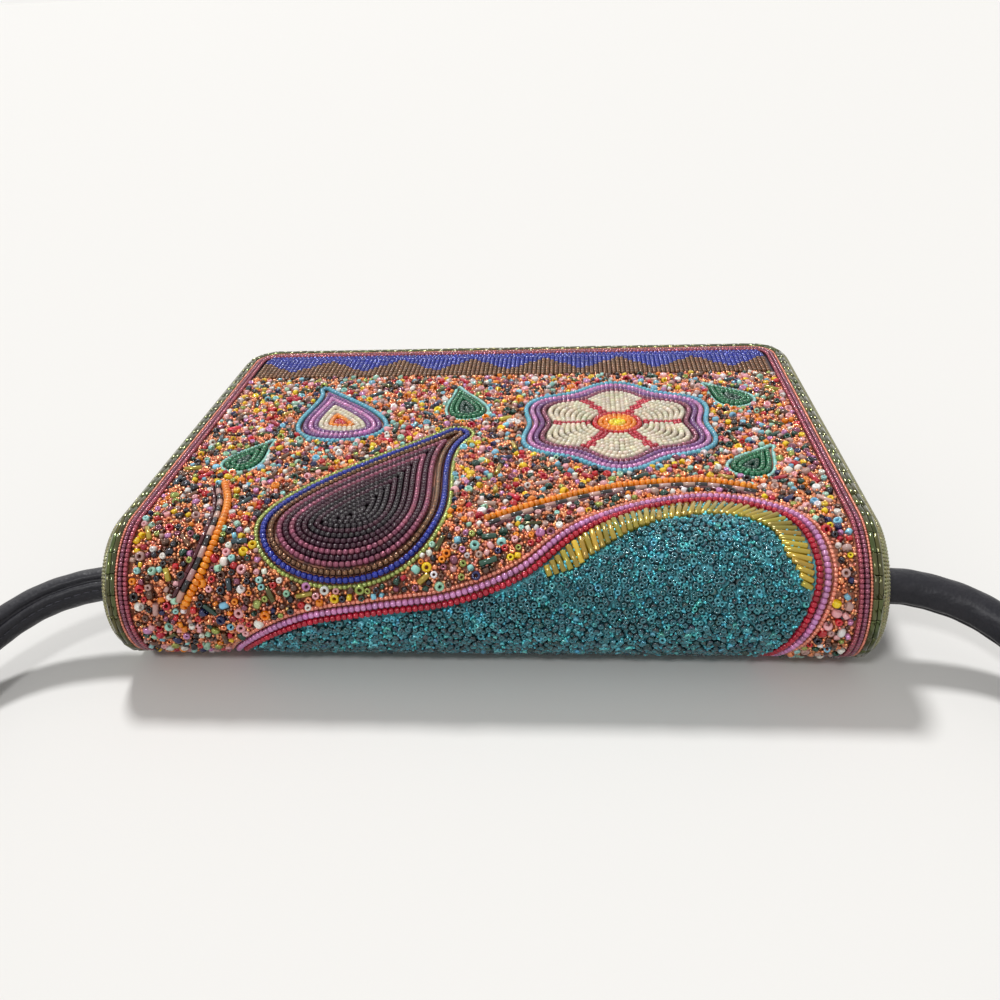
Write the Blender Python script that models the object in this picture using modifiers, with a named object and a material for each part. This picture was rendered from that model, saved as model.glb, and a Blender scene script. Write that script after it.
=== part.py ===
"""Beaded flap clutch on a rolled shoulder strap, lying on its back with its fold to the front.

The beadwork is drawn as a flat pattern, the way it is sewn on a frame: u runs across the bag, s runs from
the foremost line of the fold towards the flap's free edge, and h is the height over the finished surface.
Each field, row and cloth is made flat and then laid round the fold and over the rolled edges.
All lengths are metres.  X is across the bag, Y runs from the fold to the flap's free edge, Z is up.
"""
import math

import bmesh
import bpy
from mathutils import Vector

MM = 0.001

# Overall size
WIDTH = 218 * MM
LENGTH = 158 * MM
THICKNESS = 45 * MM

# Gaps
SEAT = 0.3 * MM
HINGE_GAP = 0.36 * MM

# Layers of the beaded flap, from the finished surface inwards
BEAD = 1.9 * MM
CLOTH = 0.6 * MM
FLAP_BOARD = 1.2 * MM
FLAP_LINING = 0.6 * MM

# Rolled edge of the beadwork
EDGE_ROLL = 5.4 * MM
CORNER_RADIUS = 9.5 * MM
ROLL_ANGLE = math.radians(74)
WRAP_ANGLE = math.radians(76)

# Margin: the fields run on to FIELD_REACH outside the core rectangle, then come the edging rows; the bugles
# and khaki beads are counted from where the roll starts
FIELD_REACH = 5 * MM
PLUM_OUT = 1.8 * MM
BUGLE_OUT = 1.2 * MM
KHAKI_OUT = 4.4 * MM
BUGLE = 6.3 * MM

# Pouch
BACK_BOARD = 2.2 * MM
FRONT_BOARD = 1.8 * MM
GUSSET_WALL = 1.6 * MM
BODY_MARGIN = 7 * MM
BODY_END_INSET = 5 * MM
MOUTH_SETBACK = 27 * MM
POUCH_LINING = 0.6 * MM
PANEL_CORNER = 9 * MM

# Magnetic snap
SNAP_RADIUS = 8.5 * MM
SNAP_BASE = 1.0 * MM
SNAP_CUP = 1.5 * MM
SNAP_NUB_RADIUS = 2.7 * MM
SNAP_NUB_PLAY = 0.5 * MM
SNAP_NUB = 1.2 * MM
SNAP_FROM_EDGE = 26 * MM

# Strap
STRAP_DIAMETER = 10.5 * MM
COLLAR_WALL = 1.5 * MM
COLLAR_LENGTH = 5 * MM
STRAP_EXIT_Y = 20.5 * MM
STRAP_EXIT_Z = 21.5 * MM
STRAP_SPACING = 24 * MM

# Sizes that follow from those above
FOLD_RADIUS = THICKNESS / 2
QUARTER = FOLD_RADIUS * math.pi / 2
ROW = BEAD / 2
ROW_PITCH = BEAD + SEAT
EDGE_REACH = (EDGE_ROLL - ROW) * math.sin(KHAKI_OUT / EDGE_ROLL) + ROW
SIDE = WIDTH / 2 - EDGE_REACH
CORE_SIDE = SIDE - CORNER_RADIUS
PATTERN_END = LENGTH - FOLD_RADIUS + QUARTER - EDGE_REACH
CORE_END = PATTERN_END - CORNER_RADIUS
FIELD_SIDE = CORE_SIDE + FIELD_REACH
FIELD_END = CORE_END + FIELD_REACH
WRAP = FOLD_RADIUS * WRAP_ANGLE
CLOTH_TOP = -BEAD - SEAT
BOARD_TOP = CLOTH_TOP - CLOTH - SEAT
LINING_TOP = BOARD_TOP - FLAP_BOARD - SEAT
FLAP_UNDERSIDE = THICKNESS + LINING_TOP - FLAP_LINING
BODY_SIDE = WIDTH / 2 - BODY_MARGIN
BODY_END = LENGTH - BODY_END_INSET
FOLD_STEP = math.radians(11.25) * FOLD_RADIUS
STUD_BOTTOM = FLAP_UNDERSIDE - SEAT - SNAP_BASE
CUP_TOP = STUD_BOTTOM - SEAT
FRONT_TOP = CUP_TOP - SNAP_CUP - SEAT
FRONT_BOTTOM = FRONT_TOP - FRONT_BOARD
FOLD_INNER = FOLD_RADIUS + BOARD_TOP - FLAP_BOARD
Y_SHIFT = -LENGTH / 2

# Route of the right half, from where it leaves the collar to the middle of the loop, counted from the
# fold's foremost line; the left half mirrors it
STRAP_ROUTE = (
    (BODY_SIDE + SEAT, STRAP_EXIT_Y, STRAP_EXIT_Z),
    (BODY_SIDE + 8 * MM, STRAP_EXIT_Y, STRAP_EXIT_Z),
    (BODY_SIDE + 20 * MM, STRAP_EXIT_Y - 1 * MM, STRAP_EXIT_Z - 0.5 * MM),
    (136 * MM, 14 * MM, 18.6 * MM),
    (147 * MM, 3 * MM, 14.6 * MM),
    (153 * MM, -13 * MM, 10.2 * MM),
    (154 * MM, -31 * MM, 7.2 * MM),
    (151 * MM, -50 * MM, 5.7 * MM),
    (146 * MM, -69 * MM, 5.4 * MM),
    (138 * MM, -88 * MM, 5.4 * MM),
    (126 * MM, -106 * MM, 5.4 * MM),
    (110 * MM, -121 * MM, 5.4 * MM),
    (90 * MM, -133 * MM, 5.4 * MM),
    (66 * MM, -141 * MM, 5.4 * MM),
    (40 * MM, -145.5 * MM, 5.4 * MM),
    (14 * MM, -147 * MM, 5.4 * MM),
)

TURN_STEPS = 16

COLOURS = {
    "black_cover": ((0.018, 0.016, 0.020), 0.55, 0.0),
    "lining": ((0.055, 0.035, 0.050), 0.8, 0.0),
    "leather": ((0.016, 0.016, 0.024), 0.42, 0.0),
    "cloth": ((0.10, 0.045, 0.045), 0.8, 0.0),
    "steel": ((0.60, 0.58, 0.52), 0.3, 1.0),
    "scatter": ((0.36, 0.19, 0.14), 0.35, 0.1),
    "teal": ((0.03, 0.16, 0.19), 0.25, 0.1),
    "crimson": ((0.42, 0.012, 0.035), 0.25, 0.0),
    "lilac": ((0.46, 0.17, 0.42), 0.3, 0.0),
    "plum": ((0.075, 0.016, 0.045), 0.3, 0.0),
    "bronze": ((0.16, 0.075, 0.04), 0.3, 0.5),
    "cobalt": ((0.012, 0.03, 0.30), 0.25, 0.0),
    "olive": ((0.10, 0.11, 0.03), 0.22, 0.2),
    "khaki": ((0.25, 0.26, 0.12), 0.25, 0.2),
    "gold_olive": ((0.38, 0.30, 0.05), 0.25, 0.3),
    "cream": ((0.70, 0.62, 0.46), 0.35, 0.0),
    "orange": ((0.85, 0.24, 0.02), 0.3, 0.0),
    "purple": ((0.20, 0.075, 0.24), 0.3, 0.0),
    "sky": ((0.12, 0.42, 0.55), 0.3, 0.0),
    "emerald": ((0.01, 0.14, 0.06), 0.28, 0.0),
    "jet": ((0.02, 0.015, 0.018), 0.25, 0.0),
}


def clear_scene():
    """Removes whatever the scene holds."""
    for old in list(bpy.data.objects):
        bpy.data.objects.remove(old, do_unlink=True)


def make_collection(name):
    """A collection linked to the scene."""
    group = bpy.data.collections.new(name)
    bpy.context.scene.collection.children.link(group)
    return group


def finish_material(name):
    """A Principled material with the finish's colour, roughness and metallic value."""
    if name in bpy.data.materials:
        return bpy.data.materials[name]
    colour, roughness, metallic = COLOURS[name]
    material = bpy.data.materials.new(name)
    material.use_nodes = True
    shader = material.node_tree.nodes["Principled BSDF"]
    shader.inputs["Base Color"].default_value = (*colour, 1.0)
    shader.inputs["Roughness"].default_value = roughness
    shader.inputs["Metallic"].default_value = metallic
    material.diffuse_color = (*colour, 1.0)
    return material


def add_object(group, name, data, finish, parent):
    """Links an object of the given mesh or curve under its parent."""
    piece = bpy.data.objects.new(name, data)
    group.objects.link(piece)
    piece.parent = parent
    piece.matrix_parent_inverse = parent.matrix_basis.inverted()
    data.materials.append(finish_material(finish))
    return piece


def roll_edge(u, s, h):
    """Rolls the margin down: past the corner radius a point goes round an arc of radius EDGE_ROLL."""
    over_u = max(abs(u) - CORE_SIDE, 0.0)
    over_s = max(s - CORE_END, 0.0)
    reach = math.hypot(over_u, over_s)
    if reach <= CORNER_RADIUS:
        return u, s, h
    angle = (reach - CORNER_RADIUS) / EDGE_ROLL
    scale = (CORNER_RADIUS + (EDGE_ROLL + h) * math.sin(angle)) / reach
    side = math.copysign(min(abs(u), CORE_SIDE) + over_u * scale, u)
    return side, min(s, CORE_END) + over_s * scale, (EDGE_ROLL + h) * math.cos(angle) - EDGE_ROLL


def lay_on_bag(u, s, h):
    """Place on the bag of a point of the flat pattern: an arc round the fold, then the flat top."""
    u, s, h = roll_edge(u, s, h)
    if s > QUARTER:
        return Vector((u, Y_SHIFT + FOLD_RADIUS + s - QUARTER, THICKNESS + h))
    angle = s / FOLD_RADIUS
    radius = FOLD_RADIUS + h
    forward = Y_SHIFT + FOLD_RADIUS - radius * math.cos(angle)
    return Vector((u, forward, FOLD_RADIUS + radius * math.sin(angle)))


def chart(u, s):
    """Flat point from hundredths of the half width and of the pattern's length over or under the fold."""
    return u / 100 * WIDTH / 2, s / 100 * (PATTERN_END if s > 0 else WRAP)


def smooth_path(points, steps):
    """Catmull-Rom curve through the points, with so many steps between neighbours."""
    last = len(points) - 1
    axes = range(len(points[0]))
    path = []
    for span in range(last):
        knots = [points[min(max(span + k - 1, 0), last)] for k in range(4)]
        for step in range(steps):
            t = step / steps
            weights = (-t + 2 * t * t - t ** 3, 2 - 5 * t * t + 3 * t ** 3)
            weights += (t + 4 * t * t - 3 * t ** 3, t ** 3 - t * t)
            path.append(tuple(sum(w * k[axis] for w, k in zip(weights, knots)) / 2 for axis in axes))
    path.append(tuple(points[-1]))
    return path


def beside(path, distance):
    """The path moved sideways, to its left where the distance is positive."""
    moved = []
    for index, (u, s) in enumerate(path):
        before = path[max(index - 1, 0)]
        after = path[min(index + 1, len(path) - 1)]
        du, ds = after[0] - before[0], after[1] - before[1]
        size = math.hypot(du, ds)
        moved.append((u - ds / size * distance, s + du / size * distance))
    return moved


def drop_loop(centre, half_width, half_height, lean, turn=0.0, grow=0.0, count=18):
    """Paisley or leaf: u = w sin t sin2(t/2), s = h cos t, with the tip leaning aside by a square law."""
    widest = math.sin(math.radians(120)) * math.sin(math.radians(60)) ** 2
    width = (half_width * MM + grow) / widest
    height = half_height * MM + grow
    cos_turn, sin_turn = math.cos(turn), math.sin(turn)
    middle = chart(*centre)
    loop = []
    for index in range(count):
        t = 2 * math.pi * index / count
        s = height * math.cos(t)
        u = width * math.sin(t) * math.sin(t / 2) ** 2 + lean * MM * ((s / half_height / MM + 1) / 2) ** 2
        loop.append((middle[0] + u * cos_turn - s * sin_turn, middle[1] + u * sin_turn + s * cos_turn))
    return loop


def around(loop, distance):
    """The closed, clockwise loop moved outwards, with a round turn at a sharp tip."""
    moved = []
    for index, (u, s) in enumerate(loop):
        before, after = loop[index - 1], loop[(index + 1) % len(loop)]
        heading = math.atan2(s - before[1], u - before[0])
        turn = (math.atan2(after[1] - s, after[0] - u) - heading + math.pi) % (2 * math.pi) - math.pi
        steps = max(1, round(abs(turn) / math.radians(35)))
        for k in range(steps):
            normal = heading + math.pi / 2 + turn * (k + 0.5) / steps
            moved.append((u + distance * math.cos(normal), s + distance * math.sin(normal)))
    return moved


def blossom_loop(centre, radius, grow=0.0, petals=6, scallop=0.1, count=36):
    """Scalloped ring: the radius swells once for each petal, and growth is measured square to its flanks."""
    middle = chart(*centre)
    loop = []
    flank = math.hypot(1, petals * scallop)
    for index in range(count):
        t = 2 * math.pi * index / count
        reach = radius * MM * (1 + scallop * math.cos(petals * t)) + grow * flank
        loop.append((middle[0] + reach * math.sin(t), middle[1] + reach * math.cos(t)))
    return loop


def margin_path(reach, start, corner_steps=4, step=28 * MM):
    """Line round the three free edges, at so much reach outside the core rectangle."""
    count = max(2, round((CORE_END - start) / step))
    side = [start + (CORE_END - start) * k / count for k in range(count)]
    path = [(-CORE_SIDE - reach, s) for s in side]
    for k in range(corner_steps + 1):
        turn = math.pi / 2 * k / corner_steps
        path.append((-CORE_SIDE - reach * math.cos(turn), CORE_END + reach * math.sin(turn)))
    return path + [(-u, s) for u, s in reversed(path)]


def surface_from(loops, height):
    """Flat surface between closed outlines; the first is the outside and the rest are holes."""
    flat = bmesh.new()
    for loop in loops:
        corners = [flat.verts.new((u, s, height)) for u, s in loop]
        for index, corner in enumerate(corners):
            flat.edges.new((corner, corners[(index + 1) % len(corners)]))
    bmesh.ops.triangle_fill(flat, use_beauty=True, edges=flat.edges[:], normal=(0, 0, 1))
    return flat


def surface_of_rings(rings, heights):
    """Surface through nested rings of equal count, each at its own height, closed in the middle."""
    flat = bmesh.new()
    circles = [[flat.verts.new((u, s, height)) for u, s in ring] for ring, height in zip(rings, heights)]
    for outer, inner in zip(circles, circles[1:]):
        for index in range(len(outer)):
            after = (index + 1) % len(outer)
            flat.faces.new((outer[index], outer[after], inner[after], inner[index]))
    flat.faces.new(circles[-1])
    return flat


def cut_flat(flat, point, normal, drop_inner=False, drop_outer=False):
    """Cuts the flat surface along a line, and drops what lies on one side if asked."""
    everything = flat.verts[:] + flat.edges[:] + flat.faces[:]
    bmesh.ops.bisect_plane(
        flat, geom=everything, dist=1e-7, plane_co=point, plane_no=normal,
        clear_inner=drop_inner, clear_outer=drop_outer)


def crease_at_fold(flat):
    """Adds the cuts that let a flat surface follow the fold."""
    low = min(v.co.y for v in flat.verts)
    steps = round(QUARTER / FOLD_STEP)
    for index in range(-steps, steps + 1):
        line = index * QUARTER / steps
        if line > low and index != 0:
            cut_flat(flat, (0, line, 0), (0, 1, 0))


def thicken_and_lay(flat, bottom, name):
    """Closes the surface downwards to a height and lays it on the bag."""
    grown = bmesh.ops.extrude_face_region(flat, geom=flat.faces[:], use_keep_orig=True)
    for vertex in (item for item in grown["geom"] if isinstance(item, bmesh.types.BMVert)):
        vertex.co.z = bottom
    bmesh.ops.recalc_face_normals(flat, faces=flat.faces[:])
    for vertex in flat.verts:
        vertex.co = lay_on_bag(*vertex.co)
    mesh = bpy.data.meshes.new(name)
    flat.to_mesh(mesh)
    flat.free()
    return mesh


def piece_from_flat(bag, name, flat, bottom, finish, on_flap=True):
    """A node from a flat surface that doesn't cross the fold's foremost line."""
    crease_at_fold(flat)
    parent = bag["flap"] if on_flap else bag["body"]
    return add_object(bag["group"], name, thicken_and_lay(flat, bottom, name), finish, parent)


def split_at_crest(bag, name, flat, bottom, finish, sides=("",)):
    """Two nodes or more from a flat surface that crosses the fold's foremost line."""
    half = HINGE_GAP / 2
    for side in sides:
        lower = flat.copy()
        cut_flat(lower, (0, -half, 0), (0, 1, 0), drop_outer=True)
        if side:
            sign = 1 if side == "right" else -1
            cut_flat(lower, (0, 0, 0), (-sign, 0, 0), drop_outer=True)
        ending = "_" + side if side else ""
        piece_from_flat(bag, "fold_" + name + ending, lower, bottom, finish, on_flap=False)
    cut_flat(flat, (0, half, 0), (0, 1, 0), drop_inner=True)
    piece_from_flat(bag, "flap_" + name, flat, bottom, finish)


def tube(bag, name, points, radius, finish, parent, closed=False, sides=6, swell=None):
    """A round rod through points in space; swell gives each point its share of the radius."""
    curve = bpy.data.curves.new(name, "CURVE")
    curve.dimensions = "3D"
    curve.bevel_depth = radius
    curve.bevel_resolution = (sides - 4) // 2
    curve.use_fill_caps = not closed
    spline = curve.splines.new("POLY")
    spline.points.add(len(points) - 1)
    for index, point in enumerate(points):
        spline.points[index].co = (*point, 1.0)
        spline.points[index].radius = swell[index] if swell else 1.0
    spline.use_cyclic_u = closed
    return add_object(bag["group"], name, curve, finish, parent)


def bead_row(bag, name, path, finish, radius=ROW, closed=False, bead_length=0.0, on_flap=True, sides=4):
    """A row of beads on the cloth, plain or, with a bead length, drawn in between its beads."""
    swell = None
    if bead_length:
        path, swell = bead_stations(path, bead_length)
    else:
        path = finer_on_fold(path, closed)
    points = [lay_on_bag(u, s, radius - BEAD) for u, s in path]
    parent = bag["flap"] if on_flap else bag["body"]
    return tube(bag, name, points, radius, finish, parent, closed=closed, sides=sides, swell=swell)


def finer_on_fold(path, closed=False):
    """The path with points added where a long step would cut across the fold's arc."""
    finer = []
    ends = path[1:] + path[:1] if closed else path[1:]
    for (u0, s0), (u1, s1) in zip(path, ends):
        steps = 1
        if min(s0, s1) < QUARTER:
            steps = max(1, math.ceil(math.dist((u0, s0), (u1, s1)) / (1.1 * FOLD_STEP)))
        finer += [(u0 + (u1 - u0) * k / steps, s0 + (s1 - s0) * k / steps) for k in range(steps)]
    return finer if closed else finer + [path[-1]]


def along_path(path, distances):
    """Points of a flat path at given distances from its start."""
    found = []
    span, passed = 0, 0.0
    for distance in distances:
        while True:
            (u0, s0), (u1, s1) = path[span], path[span + 1]
            size = math.hypot(u1 - u0, s1 - s0)
            if distance <= passed + size or span == len(path) - 2:
                break
            passed += size
            span += 1
        share = min((distance - passed) / size, 1.0)
        found.append((u0 + (u1 - u0) * share, s0 + (s1 - s0) * share))
    return found


def path_length(path):
    """Length of a flat path."""
    return sum(math.dist(a, b) for a, b in zip(path, path[1:]))


def bead_stations(path, bead_length):
    """Stations that draw a row in between its beads: a round bead has one full station, a bugle two."""
    total = path_length(path)
    count = max(2, round(total / bead_length))
    pitch = total / count
    full = (0.5,) if bead_length < 2 * BEAD else (0.08, 0.84)
    stations, swell = [], []
    for index in range(count):
        stations += [(index + share) * pitch for share in full]
        swell += [1.0] * len(full)
        if index < count - 1:
            stations.append((index + (1.0 if len(full) == 1 else 0.96)) * pitch)
            swell.append(0.6)
    return along_path(path, stations), swell


def row_over_crest(bag, name, path, finish, bead_length=0.0, sides=4):
    """A row whose two ends run down over the fold: a left and a right piece below, one on the flap."""
    half = HINGE_GAP / 2
    path = above_hem(path)
    above = [index for index, (u, s) in enumerate(path) if s > half]
    first, last = above[0], above[-1]
    start = crossing(path[first - 1], path[first], half)
    end = crossing(path[last + 1], path[last], half)
    middle = [start] + path[first:last + 1] + [end]
    bead_row(bag, "flap_" + name, middle, finish, bead_length=bead_length, sides=sides)
    left = [p for p in path[:first] if p[1] < -half] + [crossing(path[first - 1], path[first], -half)]
    right = [crossing(path[last + 1], path[last], -half)] + [p for p in path[last + 1:] if p[1] < -half]
    for side, part in (("_left", left), ("_right", right)):
        bead_row(
            bag, "fold_" + name + side, part, finish, bead_length=bead_length, on_flap=False, sides=sides)


def above_hem(path):
    """The path kept off the hem, where the beadwork ends under the bag."""
    return [(u, max(s, -WRAP)) for u, s in path]


def crossing(low, high, level):
    """Where the line between two flat points meets a level of s."""
    share = (level - low[1]) / (high[1] - low[1])
    return low[0] + (high[0] - low[0]) * share, level


def box_outline(half_width, start, end, corner, steps=4):
    """Rectangle whose two far corners are rounded."""
    outline = [(-half_width, start)]
    for k in range(steps + 1):
        turn = math.pi / 2 * k / steps
        outline.append((-half_width + corner * (1 - math.cos(turn)), end - corner * (1 - math.sin(turn))))
    return outline + [(-u, s) for u, s in reversed(outline)]


def slab(bag, name, outline, low, high, finish):
    """A flat panel with the outline in X and Y, between two heights."""
    flat = surface_from([outline], high)
    grown = bmesh.ops.extrude_face_region(flat, geom=flat.faces[:], use_keep_orig=True)
    for vertex in (item for item in grown["geom"] if isinstance(item, bmesh.types.BMVert)):
        vertex.co.z = low
    bmesh.ops.recalc_face_normals(flat, faces=flat.faces[:])
    mesh = bpy.data.meshes.new(name)
    flat.to_mesh(mesh)
    flat.free()
    piece = add_object(bag["group"], name, mesh, finish, bag["body"])
    piece.location.y = Y_SHIFT
    return piece


def profile_along_x(bag, name, outline, low_x, high_x, finish):
    """A solid whose outline in Y and Z runs along X, from an extruded flat curve stood upright."""
    curve = bpy.data.curves.new(name, "CURVE")
    curve.dimensions = "2D"
    curve.fill_mode = "BOTH"
    curve.extrude = (high_x - low_x) / 2
    spline = curve.splines.new("POLY")
    spline.points.add(len(outline) - 1)
    for point, (y, z) in zip(spline.points, outline):
        point.co = (y, z, 0, 1)
    spline.use_cyclic_u = True
    piece = add_object(bag["group"], name, curve, finish, bag["body"])
    piece.rotation_euler = (math.pi / 2, 0, math.pi / 2)
    piece.location = ((low_x + high_x) / 2, Y_SHIFT, 0)
    return piece


def arc_points(radius, start, end, count):
    """Points round the fold's centre; an angle of 0 is the foremost line and 90 degrees the top."""
    points = []
    for k in range(count + 1):
        turn = start + (end - start) * k / count
        points.append((FOLD_RADIUS - radius * math.cos(turn), FOLD_RADIUS + radius * math.sin(turn)))
    return points


def make_back_panel(bag):
    """Covered board under the bag, which turns up inside the fold's lower half."""
    outer = FOLD_RADIUS + BOARD_TOP
    inner = outer - FLAP_BOARD
    lift = HINGE_GAP / 2 / outer
    heel = FOLD_RADIUS - (FOLD_RADIUS - SEAT - BEAD - CLOTH) * math.cos(WRAP_ANGLE) + SEAT
    outline = [(heel, 0.0)]
    outline += arc_points(outer, -WRAP_ANGLE - math.radians(3), -lift, 8)
    outline += arc_points(inner, -lift, -math.pi / 2, 8)
    outline += [(FOLD_RADIUS + 8 * MM, BACK_BOARD), (BODY_END, BACK_BOARD), (BODY_END, 0.0)]
    return profile_along_x(bag, "back_panel", outline, -BODY_SIDE, BODY_SIDE, "black_cover")


def make_front_panel(bag):
    """Board over the pouch, under the flap."""
    outline = box_outline(BODY_SIDE, MOUTH_SETBACK, BODY_END, PANEL_CORNER)
    return slab(bag, "front_panel", outline, FRONT_BOTTOM, FRONT_TOP, "black_cover")


def make_gussets(bag):
    """Side walls between the two boards, rounded where they reach into the fold."""
    nose = FOLD_INNER - FLAP_LINING - 3 * SEAT
    top = FRONT_BOTTOM - SEAT
    high = math.asin((top - FOLD_RADIUS) / nose)
    outline = arc_points(nose, -math.pi / 2, high, 10)
    outline += [(BODY_END - GUSSET_WALL - SEAT, top), (BODY_END - GUSSET_WALL - SEAT, BACK_BOARD + SEAT)]
    outline += [(FOLD_RADIUS + 9 * MM, BACK_BOARD + SEAT)]
    for side, sign in (("left", -1), ("right", 1)):
        near, far = sorted((sign * (BODY_SIDE - GUSSET_WALL), sign * BODY_SIDE))
        profile_along_x(bag, "gusset_" + side, outline, near, far, "black_cover")


def make_bottom_panel(bag):
    """Wall at the pouch's closed end."""
    low, high = BACK_BOARD + SEAT, FRONT_BOTTOM - SEAT
    near = BODY_END - GUSSET_WALL
    outline = [(near, low), (BODY_END, low), (BODY_END, high), (near, high)]
    half = BODY_SIDE - PANEL_CORNER * 0.3
    return profile_along_x(bag, "bottom_panel", outline, -half, half, "black_cover")


def make_pouch_lining(bag):
    """Cloth bag inside the pouch: five walls with thickness, open towards the fold."""
    half = BODY_SIDE - GUSSET_WALL - SEAT
    near, far = MOUTH_SETBACK + 6 * MM, BODY_END - GUSSET_WALL - SEAT
    low, high = BACK_BOARD + SEAT, FRONT_BOTTOM - SEAT
    shell = bmesh.new()
    bmesh.ops.create_cube(shell, size=1.0)
    for vertex in shell.verts:
        vertex.co.x *= 2 * half
        vertex.co.y = near if vertex.co.y < 0 else far
        vertex.co.z = low if vertex.co.z < 0 else high
    mouth = [face for face in shell.faces if face.normal.y < -0.5]
    bmesh.ops.delete(shell, geom=mouth, context="FACES_ONLY")
    mesh = bpy.data.meshes.new("pouch_lining")
    shell.to_mesh(mesh)
    shell.free()
    piece = add_object(bag["group"], "pouch_lining", mesh, "lining", bag["body"])
    piece.location.y = Y_SHIFT
    wall = piece.modifiers.new("cloth thickness", "SOLIDIFY")
    wall.thickness = POUCH_LINING
    wall.offset = -1.0
    wall.use_even_offset = True
    return piece


def turned(bag, name, profile, finish, parent, centre, axis="Z"):
    """A turned piece from a profile of radius and height, down its outer side, with a Screw modifier."""
    mesh = bpy.data.meshes.new(name)
    corners = [(radius, 0.0, height) for radius, height in profile]
    mesh.from_pydata(corners, [(k, k + 1) for k in range(len(profile) - 1)], [])
    piece = add_object(bag["group"], name, mesh, finish, parent)
    piece.location = centre
    if axis == "X":
        piece.rotation_euler = (0, math.pi / 2, 0)
    spin = piece.modifiers.new("turn", "SCREW")
    spin.axis = "Z"
    spin.steps = TURN_STEPS
    spin.render_steps = TURN_STEPS
    spin.use_merge_vertices = True
    spin.merge_threshold = 0.00001
    return piece


def make_snap(bag):
    """Magnetic snap: a cup on the front board and a stud with a nub under the flap."""
    y = Y_SHIFT + LENGTH - SNAP_FROM_EDGE
    hole = SNAP_NUB_RADIUS + SNAP_NUB_PLAY
    floor = CUP_TOP - SNAP_NUB
    cup = [(0, floor), (hole, floor), (hole, CUP_TOP), (SNAP_RADIUS - 0.5 * MM, CUP_TOP)]
    cup += [(SNAP_RADIUS, CUP_TOP - 0.5 * MM), (SNAP_RADIUS, FRONT_TOP + SEAT), (0, FRONT_TOP + SEAT)]
    turned(bag, "snap_socket", cup, "steel", bag["body"], (0, y, 0))
    top = FLAP_UNDERSIDE - SEAT
    tip = STUD_BOTTOM - SNAP_NUB + SEAT
    stud = [(0, top), (SNAP_RADIUS, top), (SNAP_RADIUS, STUD_BOTTOM + 0.4 * MM)]
    stud += [(SNAP_RADIUS - 0.4 * MM, STUD_BOTTOM), (SNAP_NUB_RADIUS, STUD_BOTTOM)]
    stud += [(SNAP_NUB_RADIUS, tip), (0, tip)]
    turned(bag, "snap_stud", stud, "steel", bag["flap"], (0, y, 0))


def make_strap(bag):
    """Rolled strap in one loop from side to side, and the collars that hold its ends."""
    half = STRAP_ROUTE
    route = [(-x, y, z) for x, y, z in half] + [(x, y, z) for x, y, z in reversed(half)]
    curve = smooth_path(route, 12)
    strap_radius = STRAP_DIAMETER / 2
    spaced = [curve[0]]
    passed = 0.0
    for before, after in zip(curve, curve[1:]):
        passed += math.dist(before, after)
        if passed >= STRAP_SPACING:
            spaced.append(after)
            passed = 0.0
    mouth = BODY_SIDE + SEAT + COLLAR_LENGTH
    spaced = [curve[0], (-mouth, STRAP_EXIT_Y, STRAP_EXIT_Z)] + spaced[1:-1]
    spaced += [(mouth, STRAP_EXIT_Y, STRAP_EXIT_Z), curve[-1]]
    points = [(x, y + Y_SHIFT, z) for x, y, z in spaced]
    tube(bag, "shoulder_strap", points, strap_radius, "leather", bag["body"], sides=8)
    bore = strap_radius + SEAT
    rim = bore + COLLAR_WALL
    for side, sign in (("left", -1), ("right", 1)):
        start = BODY_SIDE + SEAT
        profile = [(bore, COLLAR_LENGTH), (rim - 0.4 * MM, COLLAR_LENGTH), (rim, COLLAR_LENGTH - 0.6 * MM)]
        profile += [(rim + 0.8 * MM, 0.8 * MM), (rim + 0.8 * MM, 0.0), (bore, 0.0), (bore, COLLAR_LENGTH)]
        place = (sign * start, Y_SHIFT + STRAP_EXIT_Y, STRAP_EXIT_Z)
        collar = turned(bag, "strap_collar_" + side, profile, "leather", bag["body"], place, axis="X")
        if sign < 0:
            collar.rotation_euler = (0, -math.pi / 2, 0)


def wave_path():
    """Upper line of the rolling wave, from the left over its crest to the right."""
    points = [(-67.9, -100), (-62.4, -47), (-47.7, -10), (-27.5, 0.9), (-7.3, 3), (11, 7.9), (25.7, 16.3)]
    points += [(42.2, 23), (60.6, 25.4), (76.1, 20.6), (81.7, 10.3), (78.9, 0.6), (73.4, -50), (69.7, -100)]
    return smooth_path([chart(*point) for point in points], 2)


def garland_paths():
    """Two hanging garlands: one between wave and blossom, one at the left side."""
    right = [(0, 19.9), (12.8, 24.8), (29.4, 29.9), (44, 32.3), (58.7, 32.9), (72.5, 30.2)]
    left = [(-76.1, 33.2), (-71.6, 26), (-69.7, 18.1), (-71.6, 10.3), (-77.1, 3)]
    return (smooth_path([chart(*point) for point in right], 3),
            smooth_path([chart(*point) for point in left], 3))


PAISLEY = {"centre": (-36.7, 31.4), "half_width": 21, "half_height": 36, "lean": 26, "count": 28}
MAUVE_PAISLEY = {"centre": (-49.5, 64.1), "half_width": 14, "half_height": 21, "lean": -14, "count": 24}
BLOSSOM_CENTRE = (36.7, 57.7)
BLOSSOM_RADIUS = 24
LEAVES = (
    {"centre": (-12.8, 68.9), "half_width": 6.5, "half_height": 14, "lean": 0, "turn": math.radians(14)},
    {"centre": (-73.4, 44.7), "half_width": 5.5, "half_height": 11, "lean": 0, "turn": math.radians(-20)},
    {"centre": (75.2, 41.1), "half_width": 6, "half_height": 11, "lean": 0, "turn": math.radians(-32)},
    {"centre": (72.5, 71.9), "half_width": 6, "half_height": 11, "lean": 0, "turn": math.radians(33)},
)
FRINGE_DEPTH = 7 * MM
BORDER_STRIP = FIELD_REACH + 0.6 * MM
TOOTH_HEIGHT = 11.4 * MM
BRONZE_MARGIN = 5 * MM
ZIGZAG_BASE = FIELD_END - BORDER_STRIP
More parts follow.
